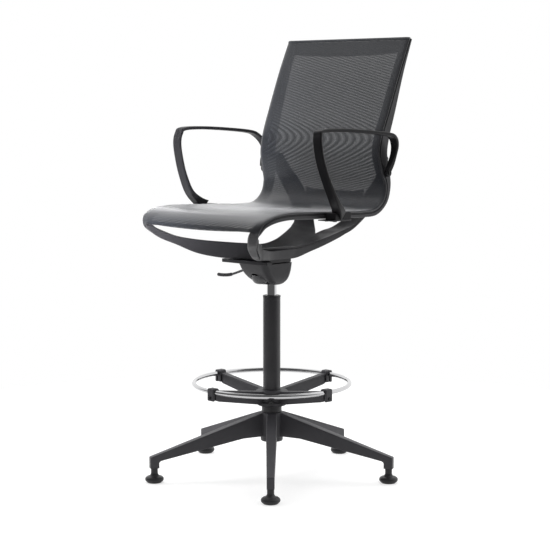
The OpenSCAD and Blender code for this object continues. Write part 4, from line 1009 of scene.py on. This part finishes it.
class CHAIR_OT_mechanism(bpy.types.Operator):
    """Adds the mechanism housing, the tension knob, the height lever and the tilt plate"""

    bl_idname = "chair.mechanism"
    bl_label = "Mechanism"

    knob_y = -46
    lever_y = -35

    def execute(self, context):
        self.housing()
        self.knob()
        self.lever()
        self.plate()
        return {"FINISHED"}

    def housing(self):
        low, high = at("mechanism_housing", LOW, Z), at("mechanism_housing", HIGH, Z)
        half, front = at("mechanism_housing", HIGH, X), -at("mechanism_housing", LOW, Y)
        rear = at("mechanism_housing", HIGH, Y)
        # z, half width, front and rear ends, corner radius
        stations = [
            [low, 24, 24, 22, 18], [low + 5, 36, 34, 24, 20],
            [low + 18, 0.86 * half, 0.62 * front, 0.82 * rear, 20],
            [low + 38, 0.95 * half, 0.84 * front, 0.94 * rear, 18],
            [high, half, front, rear, 17],
        ]

        def ring(t, inset, lift):
            z, w, f, b, r = smooth(stations, t)
            outline = round_rect(2 * (w - inset), f + b - 2 * inset, max(r - inset, 2), 8)
            return [(x, y + (b - f) / 2, z + lift * max(1 - t, 0)) for x, y in outline]

        wall = 3
        bm = lofted([ring(t, 0, 0) for t in steps(0, 4, 28)])
        rings = [ring(t, wall, wall) for t in steps(0, 4, 28)]
        rings.append([(x, y, z + 2) for x, y, z in rings[-1]])
        hollow = lofted(rings)
        for shell in (bm, hollow):
            bmesh.ops.recalc_face_normals(shell, faces=shell.faces)
        slot = block((16, 12, 17), (-half + 3, self.lever_y, low + 41.5))
        knob_well = placed(rod(26.5, low - 5, low + 35, 72), Matrix.Translation((0, self.knob_y * MM, 0)))
        cuts = [hollow, rod(16, low - 5, low + 19, 64), knob_well, slot]
        bm = combined(bm, cuts, "DIFFERENCE")
        piece("finished_housing", bm, "mechanism", "housing_plastic", ["mechanism_housing"], sharp=40)

    def knob(self):
        low, high = at("tension_knob", LOW, Z), at("tension_knob", HIGH, Z)
        r = at("tension_knob", HIGH, X)
        bore, round_r = 4.05, 19
        dome = arc(r - round_r, low + round_r, round_r, -90, 0, 12)
        bm = spun([(bore, low)] + dome + [
            (r, high - 0.6), (r - 0.6, high), (r - 3, high), (r - 3, low + round_r), (9, low + 8), (9, high),
            (bore, high),
        ], 96)
        placed(bm, Matrix.Translation((0, self.knob_y * MM, 0)))
        piece("finished_tension_knob", bm, "tension", "knob_plastic", ["tension_knob"], sharp=45)

    def lever(self):
        reach, y = -at("lever_grip", LOW, X), self.lever_y
        z = (at("lever_pin", LOW, Z) + at("lever_pin", HIGH, Z)) / 2
        pivot = (at("lever_pin", LOW, X) + at("lever_pin", HIGH, X)) / 2
        finger = at("release_pin", HIGH, Z) + 3.5 + GAP
        wire = [
            [-reach, y, z - 25], [-0.86 * reach, y, z - 25], [-0.68 * reach, y, z - 20],
            [-69, y, z - 2], [pivot, y, z], [pivot + 10, y + 3, z + 6], [-12, -8, finger], [2, 1, finger],
        ]

        def ring(t, radius, count):
            outline = arc(0, 0, radius, 0, 360 - 360 / count, count - 1)
            return [beside(wire, t, math.pi / 2, side, out) for side, out in outline]

        bm = lofted([ring(t, 3.5, 16) for t in steps(0.85, 7, 90)])
        eye = placed(rod(5, -4.5, 4.5, 32, 0.6), Matrix.Translation((pivot * MM, y * MM, z * MM))
                     @ Matrix.Rotation(math.pi / 2, 4, "X"))
        bm = combined(bm, [eye], "UNION")
        piece("finished_height_lever", bm, "lever", "lever_steel", ["height_lever"], sharp=50)
        # station along the wire and radius
        swell = [(0, 1.2), (0.03, 3.4), (0.08, 4.4), (0.16, 4.9), (1.9, 4.9), (1.96, 4.6), (2, 3.9)]
        rings = []
        for (t0, r0), (t1, r1) in zip(swell, swell[1:]):
            count = 12 if t1 - t0 > 1 else 2
            for f in steps(0, 1, count)[:-1]:
                rings.append(ring(t0 + (t1 - t0) * f, r0 + (r1 - r0) * f, 20))
        rings.append(ring(*swell[-1], 20))
        piece("finished_lever_grip", lofted(rings), "lever", "grip_rubber", ["lever_grip"], sharp=50)

    def plate(self):
        bm = gathered([whole_copy("tilt_plate")])
        bmesh.ops.dissolve_limit(bm, angle_limit=math.radians(1), verts=bm.verts, edges=bm.edges)
        outer = [
            e for e in sharp_edges(bm, 60)
            if all(v.co.z > (PLATE_TOP - 10.5) * MM for v in e.verts) and e.calc_length() > 8 * MM
        ]
        bevel(bm, outer, 1.2, 2)
        piece("finished_tilt_plate", bm, "seat_frame", "housing_plastic", ["tilt_plate"], sharp=30)


def whole_copy(node):
    """A copy of a construction node's mesh whose loose triangles are joined."""
    bm = bmesh.new()
    bm.from_mesh(frame["nodes"][node].data)
    bmesh.ops.remove_doubles(bm, verts=bm.verts, dist=1e-6)
    return bm


class CHAIR_OT_frame(bpy.types.Operator):
    """Adds the side rails with the uprights, the yoke, the top rail, the front bar and the welts"""

    bl_idname = "chair.frame"
    bl_label = "Seat and back frame"

    def execute(self, context):
        sizes = context.scene.chair_sizes
        rail = lofted(rail_rings(0, T_LAP, sizes))
        ends = [e for e in sharp_edges(rail, 60) if self.at_top(e)]
        bevel(rail, ends, 1.6, 3)
        both_sides("side_rail", rail, "frame_nylon")
        yoke = lofted(rail_rings(T_LAP, 2 * T_MID - T_LAP, sizes))
        piece("finished_front_yoke", yoke, "seat_frame", "frame_nylon", ["front_yoke"])
        self.top_rail()
        self.front_bar()
        self.welts(sizes)
        return {"FINISHED"}

    def at_top(self, edge):
        top = on_rail(0, 0, 0)
        return all((v.co / MM - top).length < 30 for v in edge.verts) and edge.calc_length() < 9 * MM

    def top_rail(self):
        v = smooth(LINE, 0)
        inner = v[0] - v[4] / 2 - GAP
        below = smooth(LINE, 1)
        slope = (LEAN - below[1]) / (BACK_TOP - below[2])
        rings = []
        for u in steps(-1, 1, 48):
            bow, low = 12 * (1 - u * u), 36 + 8 * (1 - u * u)
            outline = (
                arc(-2.4, -1.6, 1.6, 180, 90, 4) + arc(2.4, -1.6, 1.6, 90, 0, 4)
                + arc(2.4, 1.6 - low, 1.6, 0, -90, 4) + arc(-0.4, 1.6 - low, 1.6, -90, -180, 4)
            )
            y = LEAN - 2 + bow
            rings.append([(u * inner, y + a + b * slope, BACK_TOP - TOP_RAIL_DROP + b) for a, b in outline])
        piece("finished_top_rail", lofted(rings), "seat_frame", "frame_nylon", ["top_rail"])

    def front_bar(self):
        v = smooth(LINE, T_NOSE)
        half = v[0] - v[4] / 2 - 9.6
        bar = placed(rod(BAR_R, -half, half, 32, 0.8), lying(Vector((0, v[1] + 2, v[2])) * MM))
        piece("finished_front_bar", bar, "seat_frame", "frame_nylon", ["front_bar"])

    def welts(self, sizes):
        """The round-backed strips that hold the edges of the knit in the grooves."""
        rings = []
        for t in steps(0, T_MESH, round(T_MESH * sizes.fineness)):
            width, depth = smooth(LINE, t)[4:]
            w, groove = width / 2, depth / 2 - GROOVE_INSET
            low, high = groove - GROOVE_W + GAP, groove - GAP
            middle, r = (low + high) / 2, (high - low) / 2
            foot, back = w - GROOVE_D + GAP, w - 0.8 - r
            outline = [
                (foot, low), (back, low), *arc(back, middle, r, -75, 75, 6), (back, high), (foot, high)
            ]
            rings.append([on_rail(t, side, out) for side, out in outline])
        both_sides("welt", lofted(rings), "welt_plastic")


class CHAIR_OT_cradle(bpy.types.Operator):
    """Adds the cradle that carries the back from the tilt plate"""

    bl_idname = "chair.cradle"
    bl_label = "Cradle"

    v_tip = 5
    plate_part = [
        [57, -94, 36, 55, -93, 1, 0, -77, 16],
        [62, -40, 37, 57, -40, 0, 0, -30, 13],
        [66, 34, 35, 60, 34, 1, 0, 34, 14],
    ]
    # rim front, rim back and inner edge, as shares of where the wings' ends are
    sweep = [
        [0.33, 0.373, 0.144, 0.3, 0.365, 0.052, 0, 0.373, 0.082],
        [0.388, 0.572, 0.185, 0.357, 0.56, 0.106, 0, 0.572, 0.134],
        [0.451, 0.771, 0.24, 0.42, 0.754, 0.171, 0, 0.763, 0.195],
        [0.487, 0.848, 0.267, 0.46, 0.835, 0.209, 0.062, 0.843, 0.233],
        [0.545, 0.949, 0.312, 0.527, 0.949, 0.27, 0.179, 0.945, 0.281],
        [0.67, 1.047, 0.438, 0.661, 1.068, 0.418, 0.366, 1.085, 0.425],
        [0.821, 1.072, 0.589, 0.817, 1.097, 0.579, 0.518, 1.127, 0.589],
        [0.946, 1.059, 0.733, 0.946, 1.089, 0.726, 0.661, 1.136, 0.726],
        [1, 1.021, 0.863, 1, 1.047, 0.86, 0.795, 1.106, 0.853],
        [1.009, 1, 1, 1.009, 1.025, 1, 0.875, 1.047, 0.993],
    ]

    def execute(self, context):
        ends = [UPRIGHT_X, LEAN - 93, SEAT_Z - PLATE_TOP + 0.321 * BACK_H]
        stations = self.plate_part + [[v * ends[k % 3] for k, v in enumerate(row)] for row in self.sweep]
        count = 144
        bm = bmesh.new()
        rows = loft(bm, [self.ring(stations, t) for t in steps(0, len(stations) - 1, count)])
        parted = math.ceil(count * self.v_tip / (len(stations) - 1)) + 1
        # the band's two edges all along, and the wings' inner ones from where the wings have parted
        outer, inner = (3, 8), (0, 11)
        rim = []
        for i, (row, following) in enumerate(zip(rows, rows[1:])):
            for j in outer + (inner if i >= parted else ()):
                edge = bm.edges.get((row[j], following[j]))
                if edge:
                    rim.append(edge)
        inside = [f for f in bm.faces if all(abs(v.co.x) < 1e-6 for v in f.verts)]
        bmesh.ops.delete(bm, geom=inside, context="FACES")
        bevel(bm, [e for e in rim if e.is_valid], 1.3, 3)
        bmesh.ops.mirror(bm, geom=bm.verts[:] + bm.edges[:] + bm.faces[:], axis="X", merge_dist=1e-5)
        bmesh.ops.recalc_face_normals(bm, faces=bm.faces)
        tools = [self.bridge(ends)]
        for side in (1, -1):
            for place in back_screw_places(side):
                tools.append(placed(rod(7, 1.4, 18, 32, 1.0), place))
        blade = self.blade()
        bm = gathered([combined(bm, tools, "UNION"), mirrored(blade), blade])
        piece("finished_cradle", bm, "seat_frame", "frame_nylon", ["cradle"], sharp=38)
        return {"FINISHED"}

    def ring(self, stations, t):
        v = smooth(stations, t)
        up = within((t - self.v_tip) / 4)
        solid = within(3 - t)
        front, back = Vector(v[0:3]), Vector(v[3:6])
        inner = Vector((0 if t <= self.v_tip else v[6], v[7], v[8]))
        off = CRADLE_T * Vector((0, up, -1 + 0.8 * up))
        sag = Vector((0, 3 * up + 8 * max(1 - t, 0), -6 * (1 - up)))
        middle = (front + inner) / 2 + sag
        lip = Vector((1.2 * (1 - up) * CRADLE_T, 0, 0))

        def pressed(p):
            return Vector((p.x, p.y, p.z * (1 - solid)))

        # a narrow seam runs along the outer band, just under the rim
        band = back - front
        sunk = (middle - front).normalized() * min(1.8, 0.1 * band.length)
        seam = [
            front + 0.14 * band, front + 0.15 * band + sunk, front + 0.2 * band + sunk, front + 0.21 * band
        ]
        points = [inner, middle, front - lip, front] + seam + [
            back, back - lip, pressed(middle + off), pressed(inner + off)
        ]
        return [(p.x, p.y, max(p.z, 0) + PLATE_TOP) for p in points]

    def blade(self):
        """The forward end of a wing's outer band, from the frame's loop back to the plate."""
        # on the loop: station, shares of its depth above and below, how far outside it
        loop = (
            (16.2, 0.05, 0.05, 0), (16.8, 0.4, 0.4, 1.6), (17.4, 0.75, 0.75, 2.8), (18, 0.9, 0.9, 3.4),
            (19, 0.85, 0.95, 4),
        )
        stations = []
        for t, rise, fall, side in loop:
            width, depth = smooth(LINE, t)[4:]
            top, bottom = (on_rail(t, width / 2 + side, k * depth / 2) for k in (-rise, fall))
            stations.append([*top, *bottom, CRADLE_T if side else 1.0])
        # behind the loop: top edge, bottom edge and thickness
        z = PLATE_TOP
        stations += [
            [96, -140, z + 41.5, 93, -136, z + 7, 5], [80, -106, z + 33.5, 76, -103, z + 3, 5],
            [67.5, -74, z + 29, 64.5, -74, z + 1.5, 5], [63, -40, z + 28.5, 59.5, -40, z + 1.5, 5],
            [62, 0, z + 29, 58, 0, z + 1.5, 5], [62.5, 34, z + 29, 57, 34, z + 1.5, 5],
        ]
        last = len(stations) - 1
        rings = []
        for t in steps(0, last, 60):
            v, before, after = (smooth(stations, min(max(t + k, 0), last)) for k in (0, -0.05, 0.05))
            top, bottom = Vector(v[0:3]), Vector(v[3:6])
            up = (top - bottom).normalized()
            ahead = Vector(after[0:3]) - Vector(before[0:3])
            out = up.cross(ahead).normalized()
            outline = round_rect(v[6], (top - bottom).length, 0.42 * v[6], 3)
            rings.append([(top + bottom) / 2 + a * out + b * up for a, b in outline])
        bm = lofted(rings)
        bmesh.ops.recalc_face_normals(bm, faces=bm.faces)
        return bm

    def bridge(self, ends):
        """The cross band that joins the two wings behind the small of the back."""
        wx, wy, wz = ends
        lean = math.radians(11)
        low, high = 0.466 * wz, 0.466 * wz + 48 * math.cos(lean)
        rings = []
        for u in steps(-1, 1, 40):
            flare = 6 * u ** 4
            bottom, top = low - flare, high + flare
            outline = round_rect(CRADLE_T, top - bottom, 2.2, 3)
            x = u * 0.5 * wx
            y = wy + 21 + 3 * u * u
            middle = (bottom + top) / 2
            rings.append([
                (x, y + a + (middle + b - low) * math.tan(lean), PLATE_TOP + middle + b) for a, b in outline
            ])
        bm = lofted(rings)
        bmesh.ops.recalc_face_normals(bm, faces=bm.faces)
        return bm


def back_screw_places(side):
    """Where the cradle is screwed to an upright, with +Z pointing rearwards."""
    places = []
    for t in BACK_SCREWS:
        p = on_rail(t, -8, -smooth(LINE, t)[5] / 2)
        along = heading(LINE, t)
        turn = Matrix.Rotation(math.atan2(along.y, -along.z) - math.pi / 2, 4, "X")
        places.append(Matrix.Translation((side * p.x * MM, p.y * MM, p.z * MM)) @ turn)
    return places


class CHAIR_OT_cloth(bpy.types.Operator):
    """Adds the stretched knit of the seat and back with its top hem"""

    bl_idname = "chair.cloth"
    bl_label = "Knit"

    rows = 184
    columns = 56
    lift = 0.5
    marks = 400

    def execute(self, context):
        self.reach = [0.0]
        places = [Vector(smooth(LINE, t * T_MESH / self.marks)[:3]) for t in range(self.marks + 1)]
        for before, after in zip(places, places[1:]):
            self.reach.append(self.reach[-1] + (after - before).length)
        bm = bmesh.new()
        bm.loops.layers.uv.new("UVMap")
        bmesh.ops.create_grid(bm, x_segments=self.columns, y_segments=self.rows, size=1.0, calc_uvs=True)
        for vert in bm.verts:
            across, along = vert.co.x, (1 - vert.co.y) / 2
            vert.co = self.place(across, self.station(along)) * MM
        bmesh.ops.recalc_face_normals(bm, faces=bm.faces)
        for face in bm.faces:
            face.smooth = True
        obj = poured(bm, "knitted_mesh")
        obj.data.materials.append(finish_of("knit"))
        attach(obj, "seat_frame")
        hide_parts("mesh")
        hem = self.hem()
        return {"FINISHED"}

    def station(self, along):
        """The frame's station at a share of the cloth's length, so that the ribs are evenly spaced."""
        goal = along * self.reach[-1]
        i = max(min(bisect.bisect_left(self.reach, goal), self.marks), 1)
        low, high = self.reach[i - 1], self.reach[i]
        return (i - 1 + (goal - low) / (high - low)) * T_MESH / self.marks

    def place(self, across, t):
        """A point of the cloth; across runs from -1 to 1, from groove to groove."""
        side, share = (1 if across >= 0 else -1), abs(across)
        width, depth = smooth(LINE, t)[4:]
        w, n = width / 2, depth / 2 + GAP + self.lift
        on_frame = 0.84
        if share < on_frame:
            u = share / on_frame
            edge, middle = on_rail(t, -w, n), on_rail(t, 0, n)
            dip = 8 * max(0, 1 - ((t - 10) / 3.5) ** 2)
            y = middle.y + (edge.y - middle.y) * u * u
            z = middle.z + (edge.z - middle.z) * u * u - dip * (1 - u * u)
            return Vector((side * u * edge.x, y, z))
        f = (share - on_frame) / (1 - on_frame)
        outline = [(-w, n)] + [(-w + 2 * (w - 3) * k / 3, n) for k in range(1, 4)] + [
            (w - 0.8, n - 0.7), (w + 0.5, n - 2.4), (w + 0.7, n - 4.0), (w + 0.2, n - 5.1), (w - 1.2, n - 5.3)
        ]
        q = f * (len(outline) - 1)
        i = min(int(q), len(outline) - 2)
        a, b = outline[i], outline[i + 1]
        p = on_rail(t, a[0] + (b[0] - a[0]) * (q - i), a[1] + (b[1] - a[1]) * (q - i))
        return Vector((side * p.x, p.y, p.z))

    def hem(self):
        """The folded hem along the top edge."""
        rings = []
        for across in steps(-0.97, 0.97, 48):
            p = self.place(across, 0)
            q = self.place(across, 0.06)
            down = (q - p).normalized()
            face = Vector((0, -down.z, down.y))
            outline = round_rect(2.2, 7, 1.0, 3)
            centre = p + down * 3.0
            rings.append([centre + a * face + b * down for a, b in outline])
        return piece("knit_top_hem", lofted(rings), "seat_frame", "knit", sharp=60)


class CHAIR_OT_arms(bpy.types.Operator):
    """Adds the two loop arms and their brackets"""

    bl_idname = "chair.arms"
    bl_label = "Arms"

    def execute(self, context):
        both_sides("arm", self.arm(context.scene.chair_sizes), "arm_nylon", sharp=40)
        for node in ("arm_bracket_left", "arm_bracket_right"):
            low, high = (Vector(p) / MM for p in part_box(node))
            bracket = block(high - low, (low + high) / 2, 0.8, 2)
            piece(f"finished_{node}", bracket, "seat_frame", "frame_nylon", [node])
        return {"FINISHED"}

    def arm(self, sizes):
        arm_w, arm_t = 30, 9.5
        rear = smooth(LINE, ARM_REAR + 0.3)
        rear_x = rear[0] + rear[4] / 2 + GAP
        rear_at = smooth(LINE, ARM_REAR)
        rear_z = rear_at[2] - 4
        ax, az = SEAT_HALF + 45 - arm_w / 2, SEAT_Z + ARM_RISE - arm_t / 2
        # x, y, z, turn, width, thickness
        line = [
            [FOOT_X + 15, -6, SEAT_Z - 2, 0, arm_w, 40],
            [FOOT_X + 31, -24, SEAT_Z + 15, 0, arm_w + 1, 24],
            [ax + 11, -54, SEAT_Z + 0.192 * ARM_RISE, 0, arm_w + 1, arm_t + 4.5],
            [ax + 9, -82, SEAT_Z + 0.41 * ARM_RISE, 0, arm_w, arm_t + 1],
            [ax + 5, -101, SEAT_Z + 0.628 * ARM_RISE, 0, arm_w, arm_t],
            [ax + 3, -109, SEAT_Z + 0.803 * ARM_RISE, 0, arm_w, arm_t],
            [ax - 1, -106, az - 15, 0, arm_w, arm_t],
            [ax - 4, -92, az - 2, 0, arm_w, arm_t],
            [ax - 4, -20, az, 0, arm_w, arm_t],
            [ax, 85, az - 5, 0, arm_w, arm_t],
            [ax, 178, az - 13, 0, arm_w, arm_t],
            [ax - 3, 210, az - 23, 0, arm_w - 1, arm_t],
            [ax - 12, 230, az - 45, 0, arm_w - 4, arm_t],
            [ax - 20, 235, az - 72, 0, arm_w - 10, arm_t + 2],
            [rear_x + 11, 225, rear_z + 28, 0, 16, 17],
            [rear_x + 5, 215, rear_z, 0, 9, 20],
        ]
        rings = []
        for t in steps(0.35, 14.6, 190):
            v = smooth(line, t)
            corner = min(sizes.arm_corner / MM, 0.42 * min(v[4], v[5]))
            outline = round_rect(v[4], v[5], corner, 4)
            rings.append([beside(line, t, 0, a, b) for a, b in outline])
        top, foot_y = at("arm_bracket_left", HIGH, Z) + 0.1, -9
        foot = block((FOOT_W, 66, 20), (FOOT_X + FOOT_W / 2, foot_y, top + 10), 2.2, 3)
        across = lying(Vector((rear_x, rear_at[1], rear_at[2])) * MM)
        boss = placed(rod(11, 0, ARM_BOSS, 48, 1.0), across)
        bm = combined(lofted(rings), [foot, boss], "UNION")
        under = block((60, 146, 60), (FOOT_X + 20, foot_y, top - 30.1))
        sunk = placed(rod(6.5, ARM_BOSS, ARM_BOSS + 20, 40), across)
        return combined(bm, [under, sunk], "DIFFERENCE")


class CHAIR_OT_fasteners(bpy.types.Operator):
    """Adds the socket screws of the back, the arms and the plate"""

    bl_idname = "chair.fasteners"
    bl_label = "Fasteners"

    def execute(self, context):
        stand = Matrix.Translation((0, 0, 18 * MM))
        places = [place @ stand for side in (1, -1) for place in back_screw_places(side)]
        self.group("finished_back_screws", screw_head(5, 3, 3, 30), places, "back_screws")
        rail_x, foot_x = SEAT_HALF - RAIL_W / 2, FOOT_X + FOOT_W / 2
        places = self.from_below((rail_x, foot_x), (-24, 12), at("arm_bracket_left", LOW, Z))
        rear, spot = smooth(LINE, ARM_REAR + 0.3), smooth(LINE, ARM_REAR)
        out = rear[0] + rear[4] / 2 + GAP + ARM_BOSS
        for side in (1, -1):
            places.append(
                Matrix.Translation(Vector((side * out, spot[1], spot[2])) * MM)
                @ Matrix.Rotation(side * math.pi / 2, 4, "Y")
            )
        self.group("finished_arm_screws", screw_head(5.4, 3, 3, 15), places, "arm_screws")
        places = self.from_below((24,), (-62, 4), PLATE_TOP - 10)
        self.group("finished_plate_screws", screw_head(5, 1.6, 3, 18), places, "plate_screws")
        return {"FINISHED"}

    def from_below(self, across, along, z):
        """Places of screws on both sides of the chair, whose heads point down."""
        flip = Matrix.Rotation(math.pi, 4, "X")
        spots = [(side * x, y, z) for side in (1, -1) for x in across for y in along]
        return [Matrix.Translation(Vector(spot) * MM) @ flip for spot in spots]

    def group(self, name, screw, places, node):
        parts = gathered([copied(screw, place) for place in places])
        screw.free()
        piece(name, parts, "seat_frame", "screw_black", [node], sharp=30)


class CHAIR_OT_inner_parts(bpy.types.Operator):
    """Gives every construction node the finish of its slot"""

    bl_idname = "chair.inner_parts"
    bl_label = "Inner parts"

    def execute(self, context):
        for name, node in frame["nodes"].items():
            finish = finish_of(SLOTS[name])
            for slot in node.material_slots:
                slot.material = finish
            if not node.material_slots:
                raise RuntimeError(f"{name} has no material slot")
        return {"FINISHED"}


OPERATORS = (
    CHAIR_OT_stage, CHAIR_OT_base, CHAIR_OT_column, CHAIR_OT_footring, CHAIR_OT_mechanism, CHAIR_OT_frame,
    CHAIR_OT_cradle, CHAIR_OT_cloth, CHAIR_OT_arms, CHAIR_OT_fasteners, CHAIR_OT_inner_parts,
)
SETTINGS = {
    "chair_sizes": CHAIR_PG_sizes, "chair_cloth": CHAIR_PG_cloth,
    "chair_colours": CHAIR_PG_colours, "chair_studio": CHAIR_PG_studio,
}


class CHAIR_PT_build(bpy.types.Panel):
    """Lists the chair's operators and settings"""

    bl_label = "Drafting chair"
    bl_idname = "CHAIR_PT_build"
    bl_space_type = "VIEW_3D"
    bl_region_type = "UI"
    bl_category = "Chair"

    def draw(self, context):
        for operator in OPERATORS:
            self.layout.operator(operator.bl_idname)
        for name, group in SETTINGS.items():
            settings = getattr(context.scene, name)
            column = self.layout.column()
            for key in group.__annotations__:
                column.prop(settings, key)


def register():
    for group in (*SETTINGS.values(), *OPERATORS, CHAIR_PT_build):
        bpy.utils.register_class(group)
    for name, group in SETTINGS.items():
        setattr(bpy.types.Scene, name, PointerProperty(type=group))


def unregister():
    for name in SETTINGS:
        delattr(bpy.types.Scene, name)
    for group in reversed((*SETTINGS.values(), *OPERATORS, CHAIR_PT_build)):
        bpy.utils.unregister_class(group)


def main():
    register()
    for operator in OPERATORS:
        namespace, name = operator.bl_idname.split(".")
        getattr(getattr(bpy.ops, namespace), name)()


if __name__ == "__main__":
    main()
